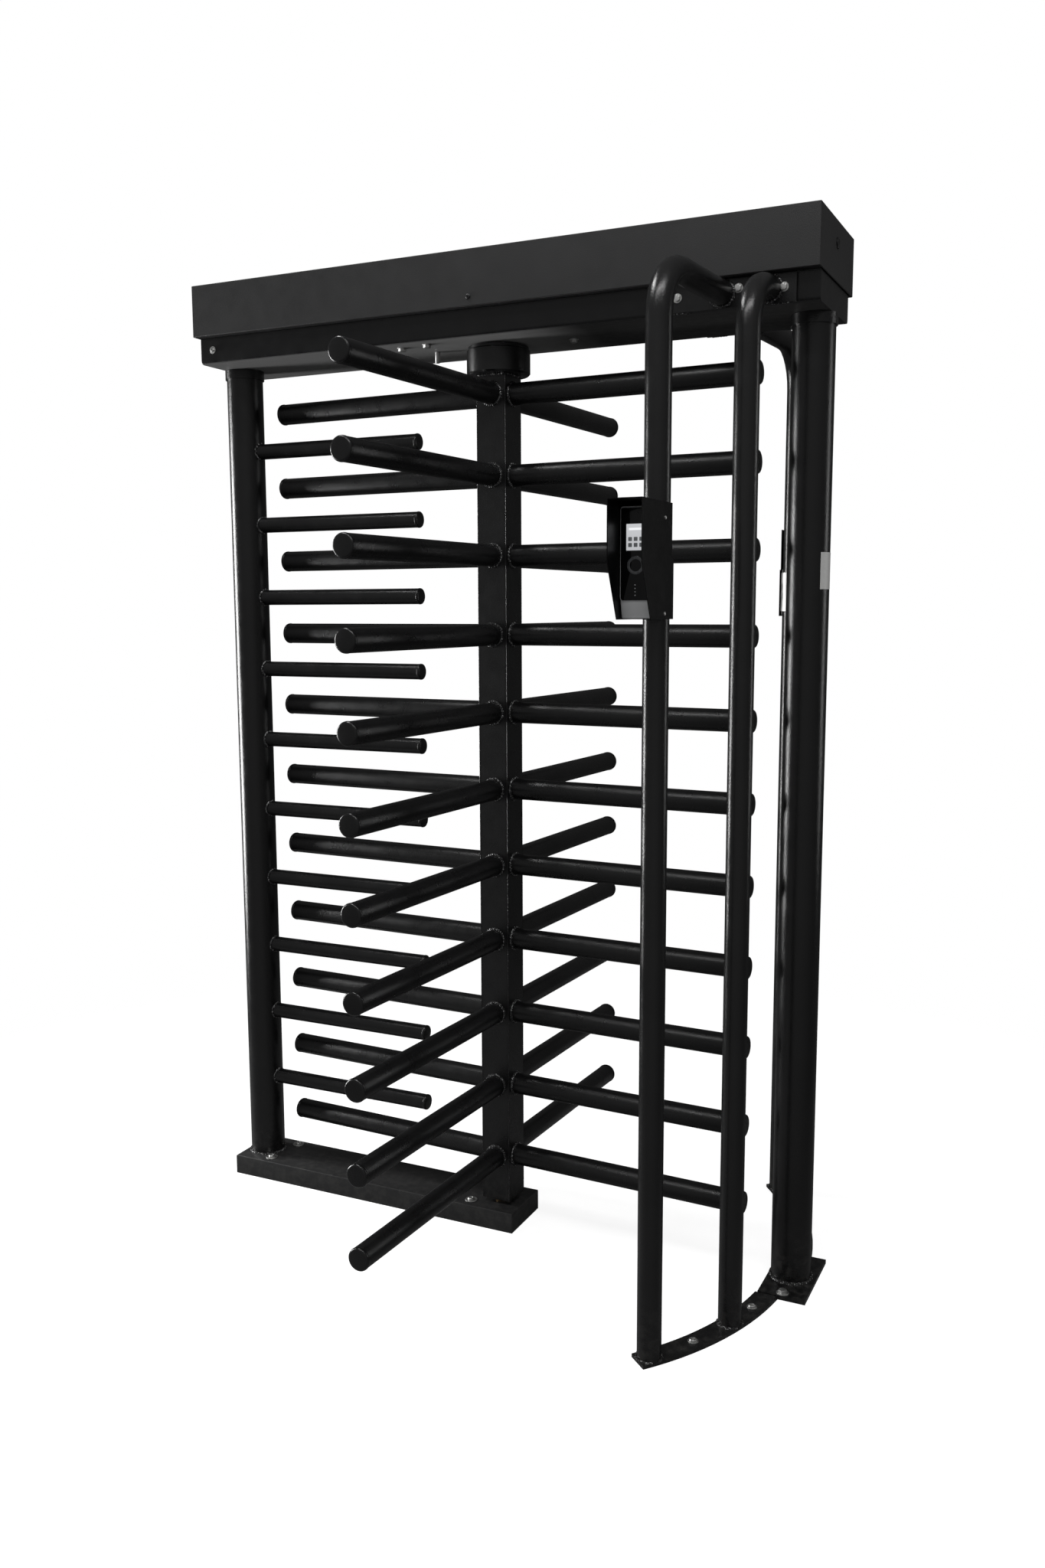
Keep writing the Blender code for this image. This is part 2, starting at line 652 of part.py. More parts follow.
# ---------------------------------------------------------------- readers
def slant_mesh(corners, x_low, x_high):
    """A prism along X over corners given as (y, z), which cuts the hood's lower front away."""
    form = bmesh.new()
    first = form.faces.new([form.verts.new((x_low, y, z)) for y, z in corners])
    swept = bmesh.ops.extrude_face_region(form, geom=[first])
    moved = [v for v in swept["geom"] if isinstance(v, bmesh.types.BMVert)]
    bmesh.ops.translate(form, vec=(x_high - x_low, 0, 0), verts=moved)
    bmesh.ops.recalc_face_normals(form, faces=form.faces)
    mesh = bpy.data.meshes.new("slant")
    form.to_mesh(mesh)
    form.free()
    return mesh


def make_reader(name, x, y, side):
    """A reader on a guard's tip tube: a clamp, a hood of bent sheet and the terminal in it."""

    def at(across, out, height):
        """A point beside the tube, by how far it is across, out from the tube, and up."""
        return (x - side * READER_SHIFT + across, y + side * out, height)

    def block(a, b, bevel=0.0):
        lows = [min(p, q) for p, q in zip(a, b)]
        highs = [max(p, q) for p, q in zip(a, b)]
        return box_mesh(lows, highs, bevel)

    width = READER_WIDTH / 2
    half = width + HOOD_SHEET + 0.0015
    inside = half - HOOD_SHEET
    low, clear = READER_LOW - 0.002, 0.01
    front_plate = HOOD_BACK_PLATE + HOOD_SHEET
    hood = add(
        name + "_hood",
        block(at(-half, HOOD_REAR_LOW, low), at(half, HOOD_FRONT, HOOD_HIGH)), POWDER_BLACK,
    )
    notch = block(
        at(-half - clear, HOOD_REAR_LOW - clear, CLAMP_TOP),
        at(half + clear, HOOD_REAR, HOOD_HIGH + clear),
    )
    cut(hood, notch, name + "_hood_notch")
    mouth = block(
        at(-inside, front_plate, low - clear), at(inside, HOOD_FRONT + clear, HOOD_HIGH - HOOD_SHEET)
    )
    cut(hood, mouth, name + "_hood_mouth")
    back = block(
        at(-inside, HOOD_REAR_LOW - clear, low - clear), at(inside, HOOD_BACK_PLATE, HOOD_HIGH + clear)
    )
    cut(hood, back, name + "_hood_back")
    slant_top = low + HOOD_SLANT_HEIGHT
    outs_and_heights = [
        (HOOD_FRONT - HOOD_SLANT_DEPTH, low), (HOOD_FRONT, slant_top),
        (HOOD_FRONT + clear, slant_top), (HOOD_FRONT + clear, low - clear),
        (HOOD_FRONT - HOOD_SLANT_DEPTH, low - clear),
    ]
    corners = [(at(0, out, 0)[1], height) for out, height in outs_and_heights]
    wedge = slant_mesh(corners, at(-half - clear, 0, 0)[0], at(half + clear, 0, 0)[0])
    cut(hood, wedge, name + "_hood_slant")
    body_rear = front_plate + TOUCH + 0.020
    add(
        name + "_terminal",
        block(at(-width, body_rear, READER_LOW), at(width, READER_FACE, READER_HIGH), 0.003),
        PLASTIC_BLACK,
    )
    rim = 0.002
    add(
        name + "_glass",
        block(at(-width + rim, READER_FACE + TOUCH, READER_LOW + CHIN_HEIGHT),
              at(width - rim, READER_FACE + 0.0018, READER_HIGH - rim)),
        GLASS_BLACK,
    )
    grip = 0.0278
    clamp_low = READER_LOW + HOOD_SHEET
    clamp = add(
        name + "_clamp",
        block((x - grip, y, clamp_low), (x + grip, y + side * (HOOD_BACK_PLATE - TOUCH), CLAMP_TOP)),
        ZINC,
    )
    band_ends = (x, y, clamp_low + 0.008), (x, y, CLAMP_TOP - 0.008)
    join(clamp, rod_mesh(0.0285, *band_ends), name + "_clamp_band")
    bore = rod_mesh(GUARD_TUBE_RADIUS + TOUCH * 2, (x, y, READER_LOW), (x, y, READER_HIGH))
    cut(clamp, bore, name + "_clamp_bore")


# ---------------------------------------------------------------- assembly
make_cover()
make_channel()
make_post("left_post", LEFT_POST_X, BASE_HEIGHT + TOUCH)
make_post("right_post", RIGHT_POST_X, POST_PLATE_SIZE[2] + TOUCH)
make_post_plate()
make_base()
make_barrier_bars()
make_guard("front_guard", -1, FRONT_GUARD)
make_guard("rear_guard", 1, REAR_GUARD)

rotor_axis = axis_empty("rotor_axis", (0, 0, 0), ROTOR_REST_ANGLE)
make_rotor(rotor_axis)
make_rotor_head(rotor_axis)

plate_top = make_bearing_and_plate()
make_pawl("a", -1, plate_top)
make_pawl("b", 1, plate_top)
make_damper(plate_top)
make_electronics(plate_top)

front_x, front_y = on_circle(FRONT_GUARD[0], FRONT_GUARD[2])
make_reader("front_reader", front_x, -front_y, -1)
rear_x, rear_y = on_circle(REAR_GUARD[0], REAR_GUARD[2])
make_reader("rear_reader", rear_x, rear_y, 1)
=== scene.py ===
"""The looks of the full-height turnstile: powder-coated steel, welds, bolts and its readers.

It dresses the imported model, which it never moves. Metres, +Z up, the floor is Z = 0.
"""
import json
from math import atan2, ceil, cos, pi, radians, sin, sqrt
from random import Random

import bmesh
import bpy
from mathutils import Matrix, Vector


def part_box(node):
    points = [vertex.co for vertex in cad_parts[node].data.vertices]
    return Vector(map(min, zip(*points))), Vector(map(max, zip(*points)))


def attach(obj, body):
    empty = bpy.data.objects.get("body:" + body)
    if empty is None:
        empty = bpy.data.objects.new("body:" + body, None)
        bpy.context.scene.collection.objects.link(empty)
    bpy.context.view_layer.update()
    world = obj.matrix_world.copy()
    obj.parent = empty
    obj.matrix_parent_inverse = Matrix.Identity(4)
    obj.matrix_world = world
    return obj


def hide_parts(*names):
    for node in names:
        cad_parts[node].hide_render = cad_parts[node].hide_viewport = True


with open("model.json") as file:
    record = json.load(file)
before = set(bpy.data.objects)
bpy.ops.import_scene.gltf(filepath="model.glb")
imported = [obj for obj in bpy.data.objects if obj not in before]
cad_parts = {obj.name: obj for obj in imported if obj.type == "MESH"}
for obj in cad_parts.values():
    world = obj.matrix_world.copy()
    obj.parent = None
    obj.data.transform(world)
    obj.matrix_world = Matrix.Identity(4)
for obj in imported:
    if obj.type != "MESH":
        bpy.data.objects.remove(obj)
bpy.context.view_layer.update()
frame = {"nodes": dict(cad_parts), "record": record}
nodes = frame["nodes"]
scene = bpy.context.scene

# ---------------------------------------------------------------- sizes
ARM_LEVELS = 11
ARM_LOWEST = 0.171
ARM_PITCH = 0.182
ARM_RADIUS = 0.025
COLUMN_HALF = 0.0375  # half the side of the rotor's square column
DRUM_WELD_HALF = 0.034  # half the length of each weld at the column's top
TIP_REACH = 0.6  # a wing's vertices beyond this are its arms' tips
ARM_TIP_ROUNDING = 0.005
BAR_RADIUS = 0.019
BAR_TIP_ROUNDING = 0.003
GUARD_TUBE_RADIUS = 0.025
POST_RADIUS = 0.0445
CHANNEL_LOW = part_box("header_channel")[0].z
CHANNEL_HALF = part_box("header_channel")[1].y
PLATE_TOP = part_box("right_post_plate")[1].z
BASE_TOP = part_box("base_box")[1].z
ARC_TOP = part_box("front_guard_arc_foot")[1].z
BRACKET_HALF = -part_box("front_guard_bracket")[0].y
UP, DOWN, RIGHT, LEFT, BACK = (0, 0, 1), (0, 0, -1), (1, 0, 0), (-1, 0, 0), (0, 1, 0)
SIDES = ((-1, "front"), (1, "rear"))
WINGS = ("right", "rear", "left", "front")
FOOT_WELD_HALF = radians(76)  # half the turn of each weld at a guard tube's foot
SEAM_LUMP = 3  # a weld's ripple comes every so many steps of its path
BEAD_SIDES = 7
BEAD_STEP = 0.0017  # about how far apart a round weld's steps are
SMOOTH_ANGLE = radians(35)

lumps = Random(11)


# ---------------------------------------------------------------- materials
def socket(shader, name, value):
    shader.inputs[name].default_value = value


def new_look(name, colour, roughness, metallic=0.0):
    """A material with its Principled shader set; returns it with its node tree and shader."""
    made = bpy.data.materials.new(name)
    made.use_nodes = True
    tree = made.node_tree
    shader = tree.nodes["Principled BSDF"]
    socket(shader, "Base Color", (*colour, 1.0))
    socket(shader, "Roughness", roughness)
    socket(shader, "Metallic", metallic)
    return made, tree, shader


def noise(tree, scale, detail=3.0, stretch=(1, 1, 1)):
    """A noise texture over the piece's own coordinates; returns its value output."""
    place = tree.nodes.new("ShaderNodeTexCoord")
    fit = tree.nodes.new("ShaderNodeMapping")
    fit.inputs["Scale"].default_value = stretch
    grain = tree.nodes.new("ShaderNodeTexNoise")
    grain.inputs["Scale"].default_value = scale
    grain.inputs["Detail"].default_value = detail
    tree.links.new(place.outputs["Object"], fit.inputs["Vector"])
    tree.links.new(fit.outputs["Vector"], grain.inputs["Vector"])
    return grain.outputs["Fac"]


def ramp(tree, value, stops):
    """A colour ramp over a value, with stops as (position, colour)."""
    made = tree.nodes.new("ShaderNodeValToRGB")
    while len(made.color_ramp.elements) < len(stops):
        made.color_ramp.elements.new(0.5)
    for element, (position, colour) in zip(made.color_ramp.elements, stops):
        element.position = position
        element.color = (*colour, 1.0)
    tree.links.new(value, made.inputs["Fac"])
    return made.outputs["Color"]


def spread(tree, value, low, high, to_low, to_high):
    """Map a value from one range to another, clamped."""
    made = tree.nodes.new("ShaderNodeMapRange")
    made.inputs["From Min"].default_value = low
    made.inputs["From Max"].default_value = high
    made.inputs["To Min"].default_value = to_low
    made.inputs["To Max"].default_value = to_high
    tree.links.new(value, made.inputs["Value"])
    return made.outputs["Result"]


def bump(tree, shader, value, strength, distance):
    """Add a bump to a shader, on top of the bumps that it already has."""
    made = tree.nodes.new("ShaderNodeBump")
    made.inputs["Strength"].default_value = strength
    made.inputs["Distance"].default_value = distance
    tree.links.new(value, made.inputs["Height"])
    earlier = shader.inputs["Normal"].links
    if earlier:
        tree.links.new(earlier[0].from_socket, made.inputs["Normal"])
    tree.links.new(made.outputs["Normal"], shader.inputs["Normal"])


def height_above_floor(tree):
    """A piece's own Z, its height above the floor when its origin lies there."""
    place = tree.nodes.new("ShaderNodeTexCoord")
    split = tree.nodes.new("ShaderNodeSeparateXYZ")
    tree.links.new(place.outputs["Object"], split.inputs["Vector"])
    return split.outputs["Z"]


def mixed(tree, factor, first, second):
    """Mix two colours, each a socket or a plain colour, by a factor socket."""
    made = tree.nodes.new("ShaderNodeMix")
    made.data_type = "RGBA"
    tree.links.new(factor, made.inputs["Factor"])
    for place, colour in ((6, first), (7, second)):
        if isinstance(colour, tuple):
            made.inputs[place].default_value = (*colour, 1.0)
        else:
            tree.links.new(colour, made.inputs[place])
    return made.outputs[2]


def powder_coat(name, dark, light, roughness, grain=1.0):
    """Powder paint: fine orange peel, sparse specks, slow patches of gloss, dust near the floor."""
    made, tree, shader = new_look(name, dark, roughness)
    patches = noise(tree, 9.0, 4.0)
    colour = ramp(tree, patches, ((0.30, dark), (0.75, light)))
    low = spread(tree, height_above_floor(tree), 0.0, 0.16, 0.55, 0.0)
    dust = spread(tree, noise(tree, 60.0, 5.0), 0.42, 0.70, 0.0, 1.0)
    dusty = tree.nodes.new("ShaderNodeMath")
    dusty.operation = "MULTIPLY"
    tree.links.new(low, dusty.inputs[0])
    tree.links.new(dust, dusty.inputs[1])
    tree.links.new(
        mixed(tree, dusty.outputs[0], colour, (0.060, 0.058, 0.055)), shader.inputs["Base Color"]
    )
    gloss = spread(tree, noise(tree, 28.0, 3.0), 0.3, 0.7, roughness - 0.04, roughness + 0.05)
    tree.links.new(gloss, shader.inputs["Roughness"])
    bump(tree, shader, noise(tree, 420.0, 2.0), 0.34 * grain, 0.0011)
    bump(tree, shader, noise(tree, 950.0, 1.0), 0.20 * grain, 0.0004)
    socket(shader, "Specular IOR Level", 0.5)
    return made


def channel_paint_with_painted_reflection():
    """The channel's paint, with a duller underside whose pale tone from its left end to the drum is a
    painted reflection of the floor, falling off past the drum in its shade.
    """
    dark, light = (0.0052, 0.0052, 0.0055), (0.0078, 0.0078, 0.0082)
    made = powder_coat("channel_black", dark, light, 0.22)
    tree = made.node_tree
    shader = tree.nodes["Principled BSDF"]
    paint = shader.inputs["Base Color"].links[0].from_socket
    surface = tree.nodes.new("ShaderNodeNewGeometry")
    facing_down = tree.nodes.new("ShaderNodeSeparateXYZ")
    tree.links.new(surface.outputs["Normal"], facing_down.inputs[0])
    place = tree.nodes.new("ShaderNodeSeparateXYZ")
    tree.links.new(surface.outputs["Position"], place.inputs[0])
    along = spread(tree, place.outputs["X"], -0.70, 0.30, 0.0, 1.0)
    patches = spread(tree, noise(tree, 40.0, 4.0), 0.3, 0.7, 0.40, 0.55)
    # Painted reflection of the floor on the underside, strongest towards the drum and falling off past
    # it as painted shade.
    painted_reflection_tone = ramp(tree, along, (
        (0.0, (0.22, 0.22, 0.22)), (0.78, (0.30, 0.30, 0.30)), (0.95, (0.05, 0.05, 0.05))))
    below = spread(tree, facing_down.outputs["Z"], -0.95, -0.60, 1.0, 0.0)
    # Downward faces take the painted reflection in place of the paint.
    tree.links.new(mixed(tree, below, paint, painted_reflection_tone), shader.inputs["Base Color"])
    gloss = shader.inputs["Roughness"].links[0].from_socket
    tree.links.new(mixed(tree, below, gloss, patches), shader.inputs["Roughness"])
    tree.links.new(spread(tree, below, 0.0, 1.0, 0.5, 0.06), shader.inputs["Specular IOR Level"])
    return made


def weld_paint_with_painted_glints():
    """Paint over a weld: a little lighter than the tubes', with pale specks. The lighter tone is partly
    painted shine, and the pale specks are painted glints of the beads.
    """
    made = powder_coat("weld_black", (0.012, 0.012, 0.0125), (0.034, 0.034, 0.035), 0.20, 0.6)
    tree = made.node_tree
    shader = tree.nodes["Principled BSDF"]
    paint = shader.inputs["Base Color"].links[0].from_socket
    # The pale specks are painted glints: highlights painted into the colour.
    painted_glints = spread(tree, noise(tree, 330.0, 2.0), 0.58, 0.64, 0.0, 1.0)
    tree.links.new(mixed(tree, painted_glints, paint, (0.42, 0.42, 0.42)), shader.inputs["Base Color"])
    return made


def metal(name, colour, dark, roughness, brushed=(1, 1, 1), scale=70.0):
    """Plated or machined metal, with a direction to its scratches and darker patches."""
    made, tree, shader = new_look(name, colour, roughness, 1.0)
    patches = noise(tree, 35.0, 5.0)
    tree.links.new(ramp(tree, patches, ((0.35, dark), (0.62, colour))), shader.inputs["Base Color"])
    lines = noise(tree, scale, 6.0, brushed)
    gloss = spread(tree, lines, 0.3, 0.7, roughness - 0.08, roughness + 0.14)
    tree.links.new(gloss, shader.inputs["Roughness"])
    bump(tree, shader, lines, 0.12, 0.0005)
    return made


def moulded(name, colour, lighter, roughness, grain_scale=900.0, strength=0.15):
    """Moulded plastic with a fine spark-eroded grain."""
    made, tree, shader = new_look(name, colour, roughness)
    patches = noise(tree, 40.0, 4.0)
    tree.links.new(ramp(tree, patches, ((0.3, colour), (0.8, lighter))), shader.inputs["Base Color"])
    gloss = spread(tree, noise(tree, 120.0, 3.0), 0.3, 0.7, roughness - 0.05, roughness + 0.05)
    tree.links.new(gloss, shader.inputs["Roughness"])
    bump(tree, shader, noise(tree, grain_scale, 2.0), strength, 0.0003)
    return made


def tinted_glass(name):
    """The reader's black front: a hard gloss over a dark ground, with faint finger marks."""
    made, tree, shader = new_look(name, (0.002, 0.0021, 0.0024), 0.08)
    socket(shader, "Specular IOR Level", 0.25)
    smears = noise(tree, 38.0, 5.0, (1.0, 1.0, 0.5))
    tree.links.new(spread(tree, smears, 0.45, 0.75, 0.05, 0.20), shader.inputs["Roughness"])
    tree.links.new(
        ramp(tree, smears, ((0.3, (0.0022, 0.0023, 0.0026)), (0.9, (0.0045, 0.0048, 0.0054)))),
        shader.inputs["Base Color"],
    )
    socket(shader, "Coat Weight", 0.2)
    socket(shader, "Coat Roughness", 0.04)
    return made


def circuit_board():
    """Green solder mask with the faint lines of copper tracks under it."""
    made, tree, shader = new_look("circuit_board", (0.010, 0.120, 0.050), 0.42)
    tracks = noise(tree, 160.0, 0.0, (1.0, 0.12, 1.0))
    colour = ramp(tree, tracks, ((0.47, (0.008, 0.100, 0.040)), (0.50, (0.020, 0.190, 0.075))))
    tree.links.new(colour, shader.inputs["Base Color"])
    tree.links.new(spread(tree, tracks, 0.45, 0.55, 0.36, 0.48), shader.inputs["Roughness"])
    bump(tree, shader, tracks, 0.10, 0.0003)
    return made


def lit(name, low, high, brightness, span):
    """A lit area of the reader's screen, shaded from one colour to another up its height."""
    made, tree, shader = new_look(name, low, 0.25)
    colour = ramp(tree, spread(tree, height_above_floor(tree), *span, 0.0, 1.0), ((0, low), (1, high)))
    tree.links.new(colour, shader.inputs["Base Color"])
    tree.links.new(colour, shader.inputs["Emission Color"])
    socket(shader, "Emission Strength", brightness)
    return made


def printed_label():
    """Blank label film: pale, slightly yellowed in patches."""
    made, tree, shader = new_look("label_film", (0.62, 0.62, 0.60), 0.42)
    patches = noise(tree, 90.0, 4.0)
    tree.links.new(
        ramp(tree, patches, ((0.3, (0.76, 0.76, 0.74)), (0.8, (0.84, 0.84, 0.83)))),
        shader.inputs["Base Color"],
    )
    tree.links.new(spread(tree, patches, 0.3, 0.7, 0.36, 0.5), shader.inputs["Roughness"])
    bump(tree, shader, noise(tree, 500.0, 2.0), 0.08, 0.0002)
    return made


powder_black = powder_coat("powder_black", (0.0062, 0.0062, 0.0065), (0.0092, 0.0092, 0.0096), 0.22)
guard_black = powder_coat("guard_black", (0.0098, 0.0098, 0.0101), (0.0138, 0.0138, 0.0142), 0.22)
arm_black = powder_coat("arm_black", (0.0060, 0.0060, 0.0063), (0.0088, 0.0088, 0.0092), 0.29)
hood_black = powder_coat("hood_black", (0.0024, 0.0024, 0.0026), (0.0036, 0.0036, 0.0038), 0.36, 0.7)
socket(hood_black.node_tree.nodes["Principled BSDF"], "Specular IOR Level", 0.2)
channel_black = channel_paint_with_painted_reflection()
cover_black = powder_coat("cover_black", (0.0165, 0.0165, 0.017), (0.021, 0.021, 0.0215), 0.50, 0.7)
weld_black = weld_paint_with_painted_glints()
zinc = metal("zinc", (0.70, 0.70, 0.69), (0.48, 0.48, 0.47), 0.42)
bare_steel = metal("bare_steel", (0.50, 0.50, 0.51), (0.36, 0.36, 0.37), 0.28, (1, 12, 1), 30.0)
bronze = metal("bronze", (0.55, 0.37, 0.17), (0.40, 0.25, 0.10), 0.34, (1, 1, 8), 60.0)
black_plastic = moulded("black_plastic", (0.010, 0.010, 0.011), (0.016, 0.016, 0.017), 0.38)
terminal_grey = moulded("terminal_grey", (0.66, 0.67, 0.68), (0.74, 0.75, 0.76), 0.32, 1200.0, 0.08)
sensor_grey = moulded("sensor_grey", (0.085, 0.088, 0.092), (0.11, 0.113, 0.118), 0.30)
icon_pale = moulded("icon_pale", (0.45, 0.46, 0.47), (0.55, 0.56, 0.57), 0.35)
reader_glass = tinted_glass("reader_glass")
board_green = circuit_board()
label_film = printed_label()
key_slot = moulded("key_slot", (0.006, 0.006, 0.006), (0.010, 0.010, 0.010), 0.6)

# ---------------------------------------------------------------- CAD nodes
NODE_LOOKS = {
    "powder_black": powder_black,
    "cover_black": cover_black,
    "zinc": zinc,
    "bare_steel": bare_steel,
    "bronze": bronze,
    "black_plastic": black_plastic,
    "reader_glass": reader_glass,
    "circuit_board": board_green,
}
PIECE_LOOKS = {f"rotor_wing_{wing}": arm_black for wing in WINGS}
# The base box takes the cover's smoother, lighter paint. The lighter tone is partly painted light,
# standing in for the light that falls on its top.
PIECE_LOOKS.update({"base_box": cover_black, "header_channel": channel_black})
for _, end in SIDES:
    PIECE_LOOKS[end + "_reader_hood"] = hood_black
    for piece in ("tip_tube", "inner_tube", "arc_foot"):
        PIECE_LOOKS[f"{end}_guard_{piece}"] = guard_black

EDGE_BEVEL = 0.0006
BEVELLED = (
    "front_guard_bracket", "rear_guard_bracket", "right_post_plate", "rotor_foot_plate",
    "front_guard_arc_foot", "rear_guard_arc_foot", "front_reader_hood", "rear_reader_hood",
    "power_supply", "damper_bridge", "header_cover", "base_box",
)


def dress(name, look):
    """Give a CAD node its material, its round faces one smooth shade and its edges a small bevel."""
    thing = nodes[name]
    mesh = thing.data
    mesh.materials.clear()
    mesh.materials.append(look)
    if "custom_normal" in mesh.attributes:
        mesh.attributes.remove(mesh.attributes["custom_normal"])
    mesh.shade_smooth()
    weld = thing.modifiers.new("weld", "WELD")
    weld.merge_threshold = 0.00001
    if name.startswith(BEVELLED):
        # The cover's rim is a face with a hole, which dissolving would lay across its opening.
        if name != "header_cover":
            flat = thing.modifiers.new("flat", "DECIMATE")
            flat.decimate_type = "DISSOLVE"
            flat.angle_limit = radians(1.0)
        edge = thing.modifiers.new("edge", "BEVEL")
        edge.width = EDGE_BEVEL
        edge.segments = 2
        edge.limit_method = "ANGLE"
        edge.angle_limit = radians(40)
        edge.harden_normals = True
    split = thing.modifiers.new("split", "EDGE_SPLIT")
    split.split_angle = SMOOTH_ANGLE


for part in frame["record"]["subparts"]:
    dress(part["node"], PIECE_LOOKS.get(part["node"], NODE_LOOKS[part["material_slot"]]))


# ---------------------------------------------------------------- mesh helpers
def ring(radius, height, sides, flats=0):
    """A level ring of points. With flats it is a polygon of that across-flats radius."""
    points = []
    for step in range(sides):
        angle = 2 * pi * step / sides
        reach = radius
        if flats:
            part = 2 * pi / flats
            reach = radius / cos((angle + part / 2) % part - part / 2)
        points.append((reach * cos(angle), reach * sin(angle), height))
    return points


def join_rings(form, rings, closed=False):
    """Join rings of equally many points, also the last to the first when closed."""
    rows = [[form.verts.new(point) for point in row] for row in rings]
    followers = rows[1:] + rows[:1] if closed else rows[1:]
    for row, following in zip(rows, followers):
        for i in range(len(row)):
            j = (i + 1) % len(row)
            form.faces.new((row[i], row[j], following[j], following[i]))
    return rows


def add_loop(form, rings):
    """Join rings of equally many points into a form that closes on itself."""
    start = len(form.faces)
    join_rings(form, rings, closed=True)
    form.faces.ensure_lookup_table()
    bmesh.ops.recalc_face_normals(form, faces=form.faces[start:])


def add_skin(form, rings, place=None):
    """Join rings of equally many points into one closed form, capped at both ends."""
    start = len(form.faces)
    rows = join_rings(form, rings)
    form.faces.new(list(reversed(rows[0])))
    form.faces.new(rows[-1])
    form.faces.ensure_lookup_table()
    if place is not None:
        made = [vert for row in rows for vert in row]
        bmesh.ops.transform(form, matrix=place, verts=made)
    bmesh.ops.recalc_face_normals(form, faces=form.faces[start:])


def finished(name, form, look):
    """Turn a form into a mesh that is shaded smooth up to its sharp edges."""
    mesh = bpy.data.meshes.new(name)
    form.to_mesh(mesh)
    form.free()
    mesh.materials.append(look)
    mesh.shade_smooth()
    mesh.set_sharp_from_angle(angle=SMOOTH_ANGLE)
    return mesh


def put(name, mesh, body, place=None):
    """Set a mesh in its place as a piece of its own, riding on a body."""
    thing = bpy.data.objects.new(name, mesh)
    scene.collection.objects.link(thing)
    if place is not None:
        thing.matrix_world = place
    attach(thing, body)
    return thing


def facing(point, way):
    """The placing that stands a piece's +Z along a direction at a point."""
    turn = Vector(way).to_track_quat("Z", "Y").to_matrix().to_4x4()
    return Matrix.Translation(Vector(point)) @ turn


def add_bead(form, path, outs, size, closed=True):
    """A weld bead: a lumpy rope along a path, half sunk in the corner that it fills."""
    count = len(path)
    rings = []
    for i, (point, out) in enumerate(zip(path, outs)):
        if closed:
            along = path[(i + 1) % count] - path[i - 1]
        else:
            along = path[min(i + 1, count - 1)] - path[max(i - 1, 0)]
        side = along.cross(out).normalized()
        swell = 1 + 0.13 * cos(2 * pi * i / SEAM_LUMP) + lumps.uniform(-0.07, 0.07)
        if not closed:
            swell *= min(1.0, 0.35 + min(i, count - 1 - i) / 3)
        reach = size * swell
        corners = [2 * pi * k / BEAD_SIDES for k in range(BEAD_SIDES)]
        rings.append([point + (out * cos(a) + side * sin(a)) * reach for a in corners])
    if closed:
        add_loop(form, rings)
    else:
        add_skin(form, rings)


def circle_bead(form, centre, across, up, radius, size, start=0.0, end=2 * pi):
    """A bead round a tube where it meets a flat face; across and up span the face."""
    centre, across, up = Vector(centre), Vector(across), Vector(up)
    face_out = across.cross(up)
    span = end - start
    closed = span > 2 * pi - 0.001
    steps = max(12, ceil(radius * span / BEAD_STEP))
    steps += -steps % SEAM_LUMP
    path, outs = [], []
    for i in range(steps if closed else steps + 1):
        angle = start + span * i / steps
        outward = across * cos(angle) + up * sin(angle)
        path.append(centre + outward * radius)
        outs.append((outward + face_out).normalized())
    add_bead(form, path, outs, size, closed)


def straight_bead(form, start, end, out, size):
    """A bead along a straight seam, tapered at its ends."""
    start, end = Vector(start), Vector(end)
    steps = max(6, ceil((end - start).length / 0.002))
    path = [start.lerp(end, i / steps) for i in range(steps + 1)]
    add_bead(form, path, [Vector(out).normalized()] * len(path), size, closed=False)


# ---------------------------------------------------------------- rotor
def wing_angle(node):
    """The direction of a wing's arms, from the middle of their tips."""
    tips = [v.co for v in nodes[node].data.vertices if v.co.xy.length > TIP_REACH]
    middle = sum(tips, Vector()) / len(tips)
    return atan2(middle.y, middle.x)


def arm_cap(reach, radius, rounding):
    """A pressed cap on a tube's end, along +X: a thin rim seam, a rounded edge, a slight dome."""
    rings = [(radius + 0.0002, reach - rounding - 0.0030), (radius + 0.0006, reach - rounding - 0.0024)]
    rings.append((radius + 0.0006, reach - rounding - 0.0006))
    steps = 6
    for step in range(steps + 1):
        angle = pi / 2 * step / steps
        across = radius - rounding + rounding * cos(angle) + 0.0005 * cos(angle)
        rings.append((across, reach - rounding + (rounding + 0.0006) * sin(angle)))
    rings.append((0.55 * (radius - rounding), reach + 0.0011))
    rings.append((0.12 * (radius - rounding), reach + 0.0013))
    rows = []
    for across, along in rings:
        rows.append([(along, y, z) for y, z, _ in ring(across, 0, 40)])
    return rows


def dress_wing(name):
    """The welds at a wing's arm roots and the pressed caps in its arms' tips."""
    turn = Matrix.Rotation(wing_angle(name), 4, "Z")
    furthest = max(v.co.xy.length for v in nodes[name].data.vertices)
    reach = sqrt(furthest**2 - (ARM_RADIUS - ARM_TIP_ROUNDING) ** 2)
    welds = bmesh.new()
    caps = bmesh.new()
    for level in range(ARM_LEVELS):
        height = ARM_LOWEST + ARM_PITCH * level
        centre = turn @ Vector((COLUMN_HALF + 0.0006, 0, height))
        across = turn.to_3x3() @ Vector(BACK)
        start = lumps.uniform(0, 2 * pi)
        circle_bead(
            welds, centre, across, UP, ARM_RADIUS + 0.0010, 0.0031, start, start + 2 * pi
        )
        lift = Matrix.Translation((0, 0, height))
        add_skin(caps, arm_cap(reach, ARM_RADIUS, ARM_TIP_ROUNDING), turn @ lift)
    put(name + "_welds", finished("welds", welds, weld_black), "rotor")
    put(name + "_caps", finished("caps", caps, powder_black), "rotor")


